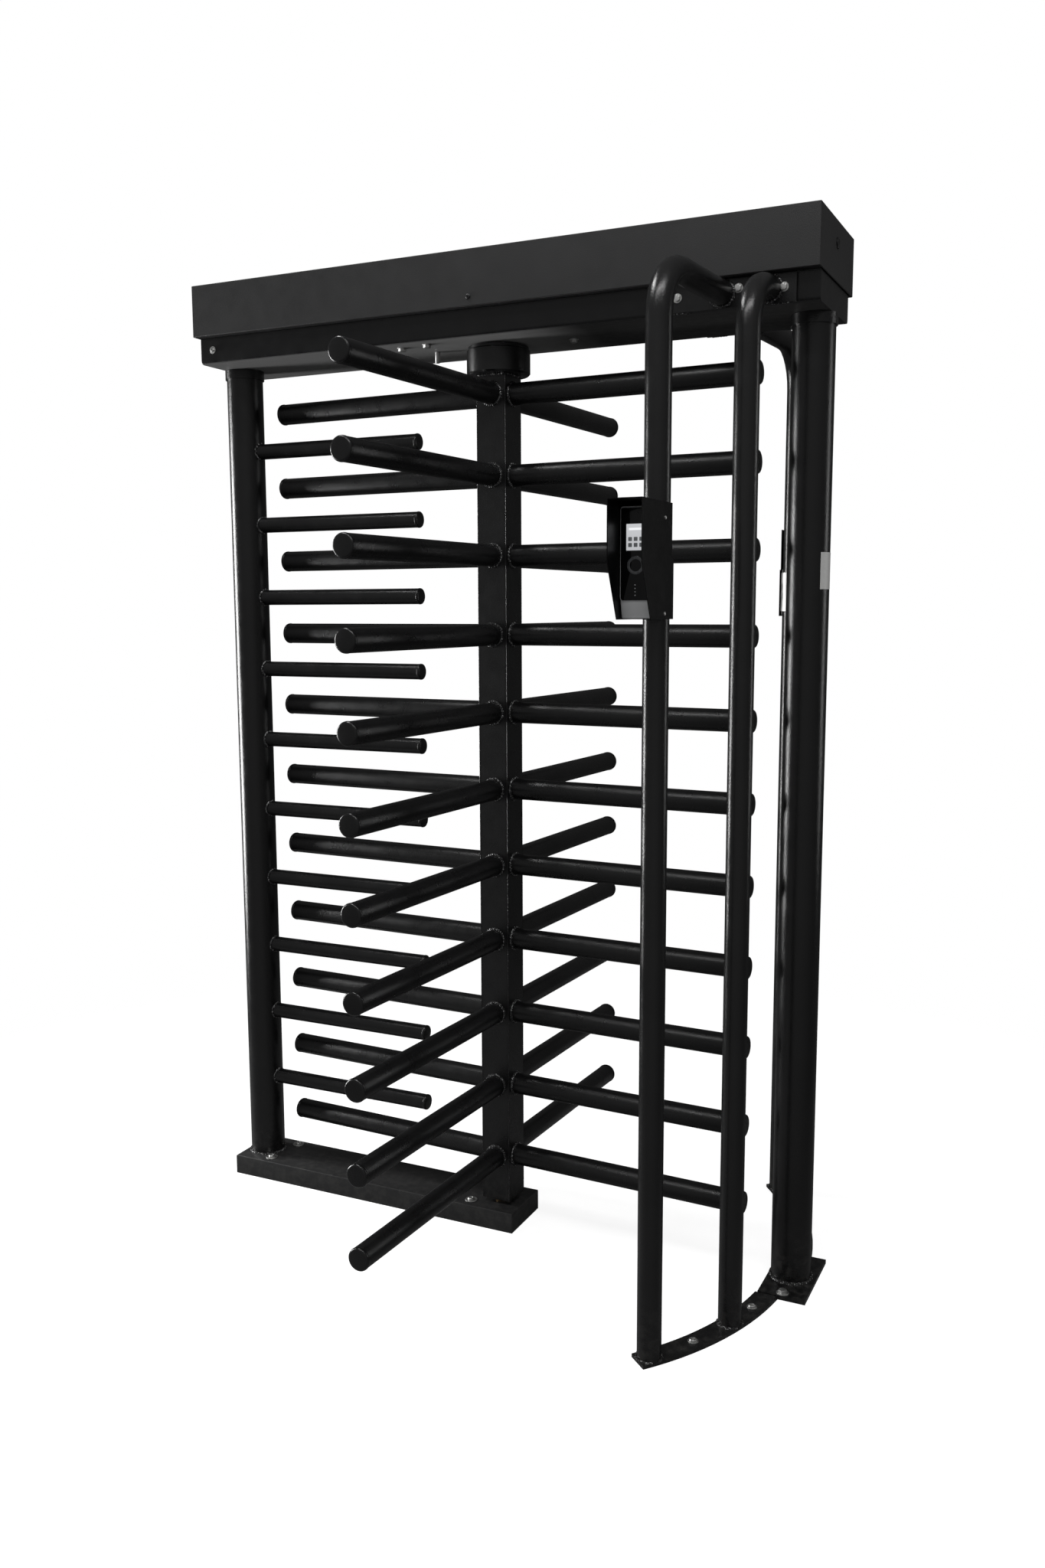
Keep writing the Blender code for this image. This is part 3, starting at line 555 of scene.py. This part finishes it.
def dress_column():
    """The seams up the column's corners, and the weld under the drum."""
    angle = wing_angle("rotor_wing_right")
    turn = Matrix.Rotation(angle, 4, "Z")
    low, high = (corner.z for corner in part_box("rotor_wing_right"))
    seams = bmesh.new()
    for quarter in range(4):
        out = turn @ Matrix.Rotation(pi / 2 * quarter, 4, "Z") @ Vector((1, 1, 0)).normalized()
        corner = out * (COLUMN_HALF * sqrt(2) - 0.0006)
        bottom = Vector((corner.x, corner.y, low + 0.001))
        top = Vector((corner.x, corner.y, high - 0.001))
        straight_bead(seams, bottom, top, out, 0.0007)
    put("rotor_column_seams", finished("seams", seams, powder_black), "rotor")
    top_weld = bmesh.new()
    for quarter in range(4):
        side = turn @ Matrix.Rotation(pi / 2 * quarter, 4, "Z")
        ends = [side @ Vector((COLUMN_HALF + 0.0005, y, high - 0.0010))
                for y in (-DRUM_WELD_HALF, DRUM_WELD_HALF)]
        straight_bead(top_weld, *ends, side.to_3x3() @ Vector((1, 0, 1)), 0.0028)
    put("rotor_drum_weld", finished("drum_weld", top_weld, weld_black), "rotor")


for wing in WINGS:
    dress_wing("rotor_wing_" + wing)
dress_column()


# ---------------------------------------------------------------- welds of the fixed frame
def middle_of(node):
    """The middle of a node's box."""
    low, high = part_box(node)
    return (low + high) / 2


def tube_place(node):
    """A guard tube's middle on the floor, from its lowest vertices."""
    foot = [v.co for v in nodes[node].data.vertices if v.co.z < 0.05]
    return sum(foot, Vector()) / len(foot)


def tube_end(node):
    """A guard tube's middle at its bracket, from its vertices nearest the header."""
    nearest = min(abs(v.co.y) for v in nodes[node].data.vertices)
    end = [v.co for v in nodes[node].data.vertices if abs(v.co.y) < nearest + 0.001]
    return sum(end, Vector()) / len(end)


def weld_bars():
    """The saddle welds of the barrier bars, and their pressed tips."""
    welds, caps = bmesh.new(), bmesh.new()
    post_x = middle_of("left_post").x
    steps = 72
    for name in sorted(n for n in nodes if n.startswith("barrier_bar_")):
        low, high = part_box(name)
        height = (low.z + high.z) / 2
        path, outs = [], []
        for i in range(steps):
            angle = 2 * pi * i / steps
            y, z = (BAR_RADIUS + 0.0006) * cos(angle), (BAR_RADIUS + 0.0006) * sin(angle)
            path.append(Vector((post_x + sqrt(POST_RADIUS**2 - y**2) + 0.0006, y, height + z)))
            outs.append(Vector((1.0, cos(angle), sin(angle))).normalized())
        add_bead(welds, path, outs, 0.0026)
        cap = arm_cap(high.x, BAR_RADIUS, BAR_TIP_ROUNDING)
        add_skin(caps, cap, Matrix.Translation((0, 0, height)))
    put("barrier_bar_welds", finished("bar_welds", welds, weld_black), "frame")
    put("barrier_bar_caps", finished("bar_caps", caps, powder_black), "frame")


def weld_guards():
    """The welds at the guards' feet and brackets."""
    for side, end in SIDES:
        guard = end + "_guard"
        welds = bmesh.new()
        for tube in ("tip_tube", "inner_tube"):
            foot = tube_place(f"{guard}_{tube}")
            centre = (foot.x, foot.y, ARC_TOP + 0.0005)
            outward = atan2(foot.y, foot.x)
            for middle in (outward + pi / 2, outward - pi / 2):
                circle_bead(
                    welds, centre, RIGHT, BACK, GUARD_TUBE_RADIUS + 0.001, 0.0029,
                    middle - FOOT_WELD_HALF, middle + FOOT_WELD_HALF,
                )
            top = tube_end(f"{guard}_{tube}")
            face = (top.x, side * (BRACKET_HALF + 0.0005), top.z)
            across = RIGHT if side < 0 else LEFT
            circle_bead(welds, face, across, UP, GUARD_TUBE_RADIUS + 0.001, 0.0030)
        low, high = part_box(guard + "_bracket")
        edge = side * (CHANNEL_HALF + 0.0010)
        for level in (low.z, high.z):
            for left, right in ((low.x + 0.01, low.x + 0.05), (high.x - 0.05, high.x - 0.01)):
                out = (0, side, -1 if level == low.z else 1)
                straight_bead(welds, (left, edge, level), (right, edge, level), out, 0.0022)
        put(guard + "_welds", finished("guard_welds", welds, weld_black), "frame")


def weld_posts():
    """The welds round both posts' feet."""
    welds = bmesh.new()
    for name, floor in (("left_post", BASE_TOP), ("right_post", PLATE_TOP)):
        foot = middle_of(name)
        centre = (foot.x, foot.y, floor + 0.0006)
        circle_bead(welds, centre, RIGHT, BACK, POST_RADIUS + 0.0012, 0.0036)
    put("post_foot_welds", finished("post_welds", welds, weld_black), "frame")


weld_bars()
weld_guards()
weld_posts()


# ---------------------------------------------------------------- fasteners
BASE_BOLTS = ((-0.655, 0.053), (-0.6705, -0.047), (-0.0665, -0.047), (-0.0665, 0.053))
PLATE_BOLT_Y = 0.088
ARC_INNER_BOLT = radians(14)  # the turn of a guard foot's inner bolt from +X
BRACKET_BOLTS = ((0.475, 2.131), (0.603, 2.138), (0.695, 2.131))
COVER_SCREW_X = 0.001
COVER_SCREW_RISE = 0.020  # above the cover's lower edge
CHANNEL_END_BOLT = (-0.7145, -CHANNEL_HALF, CHANNEL_LOW + 0.032)
UNDER_BOLTS = ((-0.208, -0.080), (-0.135, -0.093), (0.187, 0.002))
STOP_PIN = (-0.157, -0.004, CHANNEL_LOW)
LOCK_Y, LOCK_Z = -0.006, 2.234
LOCK_SLOT_SIZE = (0.0012, 0.0086, 0.0006)
DISC_SCREW_REACH = 0.0625
DISC_SCREW_TURN = radians(-52)  # from the right wing to the first screw of the dust disc
BOLT_SIDES = 36


def washer_rings(radius, thickness):
    """A washer's rings, with its edges a little rounded."""
    edge = 0.0003
    return [ring(radius - edge, 0, BOLT_SIDES), ring(radius, edge, BOLT_SIDES),
            ring(radius, thickness - edge, BOLT_SIDES), ring(radius - edge, thickness, BOLT_SIDES)]


def hex_bolt(flats, height, washer, thickness=0.0018):
    """A hexagon head with a chamfered top, on a washer."""
    form = bmesh.new()
    add_skin(form, washer_rings(washer, thickness))
    crown = flats * 0.94

    def head(level, limit=2 * flats):
        """The hexagon at a level, its corners cut back to a round limit."""
        points = []
        for x, y, z in ring(flats, level, BOLT_SIDES, 6):
            reach = min(1.0, limit / sqrt(x * x + y * y))
            points.append((x * reach, y * reach, z))
        return points

    add_skin(form, [
        head(thickness), head(thickness + height * 0.80),
        head(thickness + height * 0.90, flats * 1.09), head(thickness + height, crown),
        ring(crown * 0.4, thickness + height, BOLT_SIDES),
    ])
    return finished("hex_bolt", form, zinc)


def socket_bolt(radius, height, washer, thickness=0.0014):
    """A flat round head with a hexagon socket, on a washer."""
    form = bmesh.new()
    add_skin(form, washer_rings(washer, thickness))
    top = thickness + height
    profile = (
        (1.0, thickness, 0), (1.0, thickness + height * 0.45, 0),
        (0.93, thickness + height * 0.80, 0), (0.78, top, 0), (0.44, top, 6),
        (0.40, top - height * 0.15, 6), (0.38, top - height * 0.62, 6), (0.05, top - height * 0.70, 0),
    )
    add_skin(form, [ring(radius * share, level, BOLT_SIDES, flats) for share, level, flats in profile])
    return finished("socket_bolt", form, zinc)


def pan_screw(radius, height, look):
    """A small domed screw with a hexagon socket."""
    form = bmesh.new()
    sides = 24
    rings = [ring(radius, 0, sides), ring(radius, height * 0.35, sides)]
    for step in range(1, 5):
        angle = pi / 2 * step / 5
        rings.append(ring(radius * cos(angle), height * (0.35 + 0.65 * sin(angle)), sides))
    socket_radius = radius * 0.28
    rings.append(ring(socket_radius, height * 0.97, sides, 6))
    rings.append(ring(socket_radius * 0.95, height * 0.45, sides, 6))
    add_skin(form, rings)
    return finished("pan_screw", form, look)


def lock_cylinder():
    """The cover's key lock: a black barrel with a shallow recess in its face."""
    form = bmesh.new()
    sides = 40
    add_skin(form, [
        ring(0.0086, -0.006, sides), ring(0.0086, 0.0006, sides), ring(0.0112, 0.0008, sides),
        ring(0.0112, 0.0020, sides), ring(0.0104, 0.0027, sides), ring(0.0078, 0.0027, sides),
        ring(0.0074, 0.0021, sides), ring(0.0010, 0.0021, sides),
    ])
    return finished("lock_cylinder", form, black_plastic)


def place_bolts():
    """The bolts of the base, the right post's plate, the guards' feet and their brackets."""
    base_bolt = socket_bolt(0.0085, 0.0048, 0.0155)
    for number, (x, y) in enumerate(BASE_BOLTS, 1):
        put(f"base_bolt_{number}", base_bolt, "frame", facing((x, y, BASE_TOP), UP))
    plate_bolt = hex_bolt(0.0082, 0.0064, 0.0135)
    plate_x = middle_of("right_post_plate").x
    for side, end in SIDES:
        spot = (plate_x, side * PLATE_BOLT_Y, PLATE_TOP)
        put(f"post_plate_bolt_{end}", plate_bolt, "frame", facing(spot, UP))
    arc_bolt = socket_bolt(0.0080, 0.0042, 0.0110)
    for side, end in SIDES:
        guard = end + "_guard"
        tip, inner = tube_place(guard + "_tip_tube"), tube_place(guard + "_inner_tube")
        radius = tip.xy.length
        angles = (atan2(abs(tip.y), tip.x) + atan2(abs(inner.y), inner.x)) / 2, ARC_INNER_BOLT
        for number, angle in enumerate(angles, 1):
            spot = (radius * cos(angle), side * radius * sin(angle), ARC_TOP)
            put(f"{guard}_arc_bolt_{number}", arc_bolt, "frame", facing(spot, UP))
        bracket_bolt = hex_bolt(0.0065, 0.0052, 0.0095, 0.0014)
        for number, (x, z) in enumerate(BRACKET_BOLTS, 1):
            spot = (x, side * BRACKET_HALF, z)
            put(f"{guard}_bracket_bolt_{number}", bracket_bolt, "frame",
                facing(spot, (0, side, 0)))


def place_header_screws():
    """The cover's screws, and the bolts and the stop pin of the channel."""
    cover_low, cover_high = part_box("header_cover")
    screw = pan_screw(0.0058, 0.0030, black_plastic)
    for side, end in SIDES:
        spot = (COVER_SCREW_X, side * cover_high.y, cover_low.z + COVER_SCREW_RISE)
        put(f"cover_screw_{end}_1", screw, "frame", facing(spot, (0, side, 0)))
    channel_bolt = socket_bolt(0.0050, 0.0030, 0.0085)
    put("channel_end_bolt", channel_bolt, "frame", facing(CHANNEL_END_BOLT, (0, -1, 0)))
    under = hex_bolt(0.0075, 0.0060, 0.0110, 0.0016)
    for number, (x, y) in enumerate(UNDER_BOLTS, 1):
        put(f"channel_under_bolt_{number}", under, "frame",
            facing((x, y, CHANNEL_LOW), DOWN))
    form = bmesh.new()
    add_skin(form, [
        ring(0.0052, 0, 32), ring(0.0056, 0.0005, 32), ring(0.0056, 0.0235, 32),
        ring(0.0046, 0.0250, 32), ring(0.0010, 0.0252, 32),
    ])
    put("channel_stop_pin", finished("stop_pin", form, zinc), "frame",
        facing(STOP_PIN, DOWN))


def place_lock():
    """The key lock in the cover's right end, and the slot in its face."""
    lock_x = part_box("header_cover")[1].x
    put("cover_lock", lock_cylinder(), "frame",
        facing((lock_x, LOCK_Y, LOCK_Z), RIGHT))
    slot = bmesh.new()
    bmesh.ops.create_cube(slot, size=1.0)
    bmesh.ops.scale(slot, vec=LOCK_SLOT_SIZE, verts=slot.verts)
    bmesh.ops.bevel(slot, geom=slot.edges[:], offset=0.0002, segments=1, profile=0.5, affect="EDGES")
    put("cover_lock_slot", finished("lock_slot", slot, key_slot), "frame",
        facing((lock_x + 0.0022, LOCK_Y, LOCK_Z), RIGHT))


def place_rotor_screws():
    """The four screws of the dust disc."""
    disc_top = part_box("dust_disc")[1].z
    screw = pan_screw(0.0040, 0.0024, zinc)
    turn = wing_angle("rotor_wing_right")
    for number in range(4):
        angle = turn + DISC_SCREW_TURN + pi / 2 * number
        spot = (DISC_SCREW_REACH * cos(angle), DISC_SCREW_REACH * sin(angle), disc_top)
        put(f"dust_disc_screw_{number + 1}", screw, "rotor", facing(spot, UP))


place_bolts()
place_header_screws()
place_lock()
place_rotor_screws()


# ---------------------------------------------------------------- label on the right post
LABEL_LOW, LABEL_HIGH = 1.543, 1.619
LABEL_START, LABEL_END = radians(-43), radians(10)  # its turn round the post from +X
LABEL_LAYERS = (0.00012, 0.00042)  # its back and its face, off the post
LABEL_LIFT = 0.00010  # at its edges


def place_label():
    """A blank label of pale film, wrapped on the post, with a little lift at its edges."""
    post = middle_of("right_post")
    form = bmesh.new()
    columns, rows = 16, 10
    grid = []
    for layer in LABEL_LAYERS:
        for row in range(rows + 1):
            for column in range(columns + 1):
                across = LABEL_START + (LABEL_END - LABEL_START) * column / columns
                edge = min(column, columns - column, row, rows - row)
                reach = POST_RADIUS + layer + (LABEL_LIFT if edge == 0 else 0.0)
                z = LABEL_LOW + (LABEL_HIGH - LABEL_LOW) * row / rows
                grid.append(form.verts.new(
                    (post.x + reach * cos(across), post.y + reach * sin(across), z)))
    layer_size = (rows + 1) * (columns + 1)

    def at(layer, row, column):
        return grid[layer * layer_size + row * (columns + 1) + column]

    for layer in (0, 1):
        for row in range(rows):
            for column in range(columns):
                form.faces.new((at(layer, row, column), at(layer, row, column + 1),
                                at(layer, row + 1, column + 1), at(layer, row + 1, column)))
    border = [(0, c) for c in range(columns)] + [(r, columns) for r in range(rows)]
    border += [(rows, c) for c in range(columns, 0, -1)] + [(r, 0) for r in range(rows, 0, -1)]
    for (r, c), (r_next, c_next) in zip(border, border[1:] + border[:1]):
        form.faces.new((at(0, r, c), at(0, r_next, c_next), at(1, r_next, c_next), at(1, r, c)))
    bmesh.ops.recalc_face_normals(form, faces=form.faces)
    put("post_label", finished("label", form, label_film), "frame")


place_label()


# ---------------------------------------------------------------- readers
# Heights are above the terminal's foot.
CHIN_TOP = 0.032
CHIN_UNDERCUT = 0.0062  # how far the chin's foot recedes
SHELL_EDGE = 0.0026
SHELL_CORNER = 0.0035
GLASS_TOP_GAP = 0.003
GLASS_DEPTH = 0.0018  # how far the glass stands in front of the shell
SCREEN_LOW, SCREEN_HIGH = 0.120, 0.1665
SCREEN_HALF = 0.01775
TILE_PITCH = 0.0105
TILE_HALF = 0.0036
RING_HEIGHT = 0.0937
DOTS_HEIGHT, DOT_PITCH = 0.041, 0.0061
LENS_X, LENS_HEIGHT = 0.006, 0.188
HOOD_SCREWS = (0.008, 0.180)
HOOD_SCREW_Y = 0.056  # from the guard tube's axis
SCREEN_SPAN = (1.607, 1.6535)  # where the lit areas' shading starts and ends


def rounded_outline(half_width, low, high, low_radius, high_radius, steps=6):
    """A rectangle with round corners, as (across, height) points, or (across, depth) when level."""
    points = []
    corners = (
        (half_width - low_radius, low + low_radius, -pi / 2, low_radius),
        (half_width - high_radius, high - high_radius, 0, high_radius),
        (-half_width + high_radius, high - high_radius, pi / 2, high_radius),
        (-half_width + low_radius, low + low_radius, pi, low_radius),
    )
    for x, z, first, radius in corners:
        for step in range(steps + 1):
            angle = first + pi / 2 * step / steps
            points.append((x + radius * cos(angle), z + radius * sin(angle)))
    return points


def add_plate(form, outline, front, back, rounding):
    """A plate standing across the reader: an outline of (across, height) with a rounded front."""
    centre_x = sum(p[0] for p in outline) / len(outline)
    centre_z = sum(p[1] for p in outline) / len(outline)
    width = max(p[0] for p in outline) - centre_x
    height = max(p[1] for p in outline) - centre_z

    def row(depth, inset):
        along = 1 - inset / width
        upward = 1 - inset / height
        return [(centre_x + (x - centre_x) * along, depth, centre_z + (z - centre_z) * upward)
                for x, z in outline]

    add_skin(form, [
        row(back, 0), row(front + rounding, 0), row(front + rounding * 0.3, rounding * 0.3),
        row(front, rounding),
    ])


def terminal_body(low, high, half, face, rear):
    """The reader's shell: level sections whose lower front recedes to the chin's foot."""
    chin_top = low + CHIN_TOP
    form = bmesh.new()
    rows = []

    def section(height, inset, undercut):
        outline = rounded_outline(
            half - inset, -face + inset + undercut, -rear - inset, SHELL_CORNER, SHELL_CORNER, 5)
        rows.append([(x, y, height) for x, y in outline])

    edge = SHELL_EDGE
    for step in range(5):
        angle = pi / 2 * step / 4
        section(low + edge * (1 - cos(angle)), edge * (1 - sin(angle)), CHIN_UNDERCUT)
    for step in range(1, 7):
        part = step / 6
        section(low + edge + (chin_top - low - edge) * part, 0, CHIN_UNDERCUT * (1 - part) ** 1.4)
    section(high - edge, 0, 0)
    for step in range(1, 5):
        angle = pi / 2 * step / 4
        section(high - edge * (1 - sin(angle)), edge * (1 - cos(angle)), 0)
    add_skin(form, rows)
    return finished("terminal_body", form, terminal_grey)


def flat_ring(form, across, height, outer, inner, front, depth):
    """A round rim standing across the reader, with rounded edges."""
    sides = 40
    rows = []
    profile = (
        (inner, front + depth), (inner, front + depth * 0.3), (inner + 0.0004, front),
        (outer - 0.0004, front), (outer, front + depth * 0.3), (outer, front + depth),
    )
    for step in range(sides):
        angle = 2 * pi * step / sides
        rows.append([(across + r * cos(angle), y, height + r * sin(angle)) for r, y in profile])
    add_loop(form, rows)


def disc(form, across, height, radius, front, depth, sides=20):
    """A round plate standing across the reader, with its front edge sloped."""
    rows = []
    for reach, y in ((radius, front + depth), (radius, front + depth * 0.3), (radius * 0.8, front)):
        rows.append([(across + reach * cos(2 * pi * k / sides), y,
                      height + reach * sin(2 * pi * k / sides)) for k in range(sides)])
    add_skin(form, rows)


def add_shell(name, low, high, half, face, rear, place):
    """The terminal's shell, its black glass front and the pale edge round the glass."""
    shell = put(name + "_shell", terminal_body(low, high, half, face, rear), "frame",
                place)
    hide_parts(name + "_terminal")
    glass_low, glass_high = low + CHIN_TOP, high - GLASS_TOP_GAP
    form = bmesh.new()
    outline = rounded_outline(half - 0.0013, glass_low, glass_high, 0.0050, 0.0030)
    add_plate(form, outline, -face - GLASS_DEPTH, -face + 0.0004, 0.0008)
    glass = put(name + "_front", finished("front_glass", form, reader_glass), "frame",
                place)
    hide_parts(name + "_glass")
    form = bmesh.new()
    outline = rounded_outline(half - 0.0001, glass_low - 0.0012, glass_high + 0.0012, 0.0060, 0.0040)
    add_plate(form, outline, -face - 0.0008, -face + 0.0002, 0.0003)
    put(name + "_bezel", finished("bezel", form, terminal_grey), "frame", place)


def add_screen(name, low, front, place):
    """The lit screen with two rows of three dark tiles under a pale bar."""
    over = front - 0.00012
    above = over - 0.00008
    screen_low, screen_high = low + SCREEN_LOW, low + SCREEN_HIGH
    form = bmesh.new()
    outline = rounded_outline(SCREEN_HALF, screen_low, screen_high, 0.0008, 0.0008, 2)
    add_plate(form, outline, over, front + 0.0003, 0.0001)
    put(name + "_screen", finished("screen", form, screen_glow), "frame", place)
    form = bmesh.new()
    for row in range(2):
        for column in range(3):
            x = TILE_PITCH * (column - 1)
            z = screen_low + 0.0095 + TILE_PITCH * row
            outline = rounded_outline(TILE_HALF, z - TILE_HALF, z + TILE_HALF, 0.0010, 0.0010, 3)
            shifted = [(across + x, height) for across, height in outline]
            add_plate(form, shifted, above, over + 0.0001, 0.00005)
    put(name + "_tiles", finished("tiles", form, tile_glow), "frame", place)
    form = bmesh.new()
    bar = rounded_outline(0.0130, screen_high - 0.0110, screen_high - 0.0070, 0.0008, 0.0008, 2)
    add_plate(form, bar, above, over + 0.0001, 0.00005)
    put(name + "_bar", finished("bar", form, bar_glow), "frame", place)


def add_marks(name, low, front, place):
    """The card ring, the column of four status dots and the lens."""
    form = bmesh.new()
    flat_ring(form, 0, low + RING_HEIGHT, 0.0160, 0.0108, front - 0.0005, 0.0008)
    put(name + "_card_ring", finished("card_ring", form, sensor_grey), "frame", place)
    form = bmesh.new()
    for dot in range(4):
        disc(form, -0.0005, low + DOTS_HEIGHT + DOT_PITCH * dot, 0.0011, front - 0.00012, 0.0004)
    put(name + "_dots", finished("dots", form, icon_pale), "frame", place)
    form = bmesh.new()
    flat_ring(form, LENS_X, low + LENS_HEIGHT, 0.0034, 0.0024, front - 0.0002, 0.0005)
    disc(form, LENS_X, low + LENS_HEIGHT, 0.0022, front - 0.00008, 0.0004)
    put(name + "_lens", finished("lens", form, black_plastic), "frame", place)


def add_hood_screws(name, low, y):
    """Two screws in each side wall of the hood."""
    hood_low, hood_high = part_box(name + "_hood")
    screw = pan_screw(0.0036, 0.0022, zinc)
    for wall, x, way in (("right", hood_high.x, 1), ("left", hood_low.x, -1)):
        for number, rise in enumerate(HOOD_SCREWS, 1):
            put(f"{name}_hood_screw_{wall}_{number}", screw, "frame",
                facing((x, y, low + rise), (way, 0, 0)))


def build_reader(end, side):
    """One reader's terminal, turned to face away from the header."""
    name = end + "_reader"
    low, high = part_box(name + "_terminal")
    tube_y = tube_place(end + "_guard_tip_tube").y
    face = abs((low.y if side < 0 else high.y) - tube_y)
    rear = abs((high.y if side < 0 else low.y) - tube_y)
    turn = Matrix.Rotation(0 if side < 0 else pi, 4, "Z")
    place = Matrix.Translation(((low.x + high.x) / 2, tube_y, 0)) @ turn
    front = -face - GLASS_DEPTH
    add_shell(name, low.z, high.z, (high.x - low.x) / 2, face, rear, place)
    add_screen(name, low.z, front, place)
    add_marks(name, low.z, front, place)
    add_hood_screws(name, low.z, tube_y + side * HOOD_SCREW_Y)


screen_glow = lit("screen_glow", (0.50, 0.51, 0.53), (0.62, 0.63, 0.65), 0.85, SCREEN_SPAN)
tile_glow = lit("tile_glow", (0.08, 0.085, 0.09), (0.16, 0.165, 0.17), 0.60, SCREEN_SPAN)
bar_glow = lit("bar_glow", (0.82, 0.83, 0.85), (0.90, 0.91, 0.93), 0.95, SCREEN_SPAN)
for side, end in SIDES:
    build_reader(end, side)


# ---------------------------------------------------------------- studio
CAMERA_SPOT = (1.3855, -2.7741, 1.5047)
CAMERA_PAN, CAMERA_DOWN, CAMERA_ROLL = 0.4467, 0.1330, -0.0038
FOCAL_LENGTH = 30.04
SENSOR_WIDTH = 36.0
BACKDROP = 1.0
LIGHT_SIDE = (0.2, -0.82, 0.54)  # the side of the room that is the lightest
FLOOR_RADIUS = 2.4
FLOOR_CLEAR = 0.5  # how far from the middle the floor starts to fade
FLOOR_DROP = 0.0004
FLOOR_GLOW = 0.86
LIGHTS = (  # name, place, target, width and height, power
    ("left_wall", (-4.2, -0.55, 1.20), (0, 0, 1.20), (0.8, 2.4), 165),
    ("overhead_left", (-1.1, -0.7, 3.9), (0.1, -0.2, 1.2), (1.0, 0.5), 24),
    ("right_strip", (2.9, 1.3, 1.6), (0.4, 0, 1.2), (0.4, 2.0), 8),
    ("overhead_front", (0.87, -1.8, 3.97), (0, 0, 1.1), (2.6, 0.14), 30),
)


def make_camera():
    """Stands in front, to the right, at eye height, looking a little down."""
    lens = bpy.data.cameras.new("camera")
    lens.lens = FOCAL_LENGTH
    lens.sensor_width = SENSOR_WIDTH
    camera = bpy.data.objects.new("camera", lens)
    scene.collection.objects.link(camera)
    turn = Matrix.Rotation(CAMERA_PAN, 4, "Z") @ Matrix.Rotation(pi / 2 - CAMERA_DOWN, 4, "X")
    turn = turn @ Matrix.Rotation(CAMERA_ROLL, 4, "Z")
    camera.matrix_world = Matrix.Translation(CAMERA_SPOT) @ turn
    scene.camera = camera
    scene.view_settings.view_transform = "Standard"


def make_world():
    """A dim room, lighter in front of the object than behind it, before a plain white backdrop."""
    world = bpy.data.worlds.new("studio")
    world.use_nodes = True
    tree = world.node_tree
    backdrop = tree.nodes["Background"]
    place = tree.nodes.new("ShaderNodeTexCoord")
    lean = tree.nodes.new("ShaderNodeVectorMath")
    lean.operation = "DOT_PRODUCT"
    lean.inputs[1].default_value = Vector(LIGHT_SIDE).normalized()
    tree.links.new(place.outputs["Generated"], lean.inputs[0])
    light = ramp(
        tree, spread(tree, lean.outputs["Value"], -1.0, 1.0, 0.0, 1.0),
        ((0.0, (0.03, 0.03, 0.03)), (0.5, (0.08, 0.08, 0.08)), (1.0, (0.26, 0.26, 0.26))),
    )
    tree.links.new(light, backdrop.inputs["Color"])
    backdrop.inputs["Strength"].default_value = 1.0
    seen = tree.nodes.new("ShaderNodeBackground")
    seen.inputs["Color"].default_value = (1.0, 1.0, 1.0, 1.0)
    seen.inputs["Strength"].default_value = BACKDROP
    rays = tree.nodes.new("ShaderNodeLightPath")
    choose = tree.nodes.new("ShaderNodeMixShader")
    tree.links.new(rays.outputs["Is Camera Ray"], choose.inputs["Fac"])
    tree.links.new(backdrop.outputs["Background"], choose.inputs[1])
    tree.links.new(seen.outputs["Background"], choose.inputs[2])
    tree.links.new(choose.outputs["Shader"], tree.nodes["World Output"].inputs["Surface"])
    scene.world = world


def area_light(name, spot, target, size, power):
    """A rectangular light that lights the turnstile but isn't seen itself."""
    light = bpy.data.lights.new(name, "AREA")
    light.shape = "RECTANGLE"
    light.size, light.size_y = size
    light.energy = power
    lamp = bpy.data.objects.new(name, light)
    scene.collection.objects.link(lamp)
    lamp.visible_camera = False
    way = Vector(target) - Vector(spot)
    turn = way.to_track_quat("-Z", "Y").to_matrix().to_4x4()
    lamp.matrix_world = Matrix.Translation(Vector(spot)) @ turn


def make_floor():
    """A plain pale floor that fades into the backdrop away from the turnstile."""
    form = bmesh.new()
    radii = (FLOOR_RADIUS, FLOOR_RADIUS * 0.6, 0.02)
    rows = join_rings(form, [ring(radius, 0, 96) for radius in radii])
    form.faces.new(rows[-1])
    bmesh.ops.recalc_face_normals(form, faces=form.faces)
    look, tree, shader = new_look("floor", (0.62, 0.62, 0.62), 0.7)
    socket(shader, "Specular IOR Level", 0.1)
    socket(shader, "Emission Color", (1.0, 1.0, 1.0, 1.0))
    rays = tree.nodes.new("ShaderNodeLightPath")
    grain = ramp(tree, noise(tree, 30.0, 4.0), ((0.3, (0.60, 0.60, 0.60)), (0.7, (0.63, 0.63, 0.63))))
    seen = mixed(tree, rays.outputs["Is Camera Ray"], (0.30, 0.30, 0.30), grain)
    tree.links.new(seen, shader.inputs["Base Color"])
    bump(tree, shader, noise(tree, 400.0, 3.0), 0.05, 0.0005)
    glow = spread(tree, rays.outputs["Is Camera Ray"], 0.0, 1.0, 0.0, FLOOR_GLOW)
    tree.links.new(glow, shader.inputs["Emission Strength"])
    place = tree.nodes.new("ShaderNodeTexCoord")
    reach = tree.nodes.new("ShaderNodeVectorMath")
    reach.operation = "LENGTH"
    tree.links.new(place.outputs["Object"], reach.inputs[0])
    fade = spread(tree, reach.outputs["Value"], FLOOR_CLEAR, FLOOR_RADIUS * 0.95, 1.0, 0.0)
    tree.links.new(fade, shader.inputs["Alpha"])
    floor = bpy.data.objects.new("floor", finished("floor", form, look))
    scene.collection.objects.link(floor)
    floor.location = (0.0, 0.0, -FLOOR_DROP)


make_camera()
make_world()
make_floor()
for light in LIGHTS:
    area_light(*light)
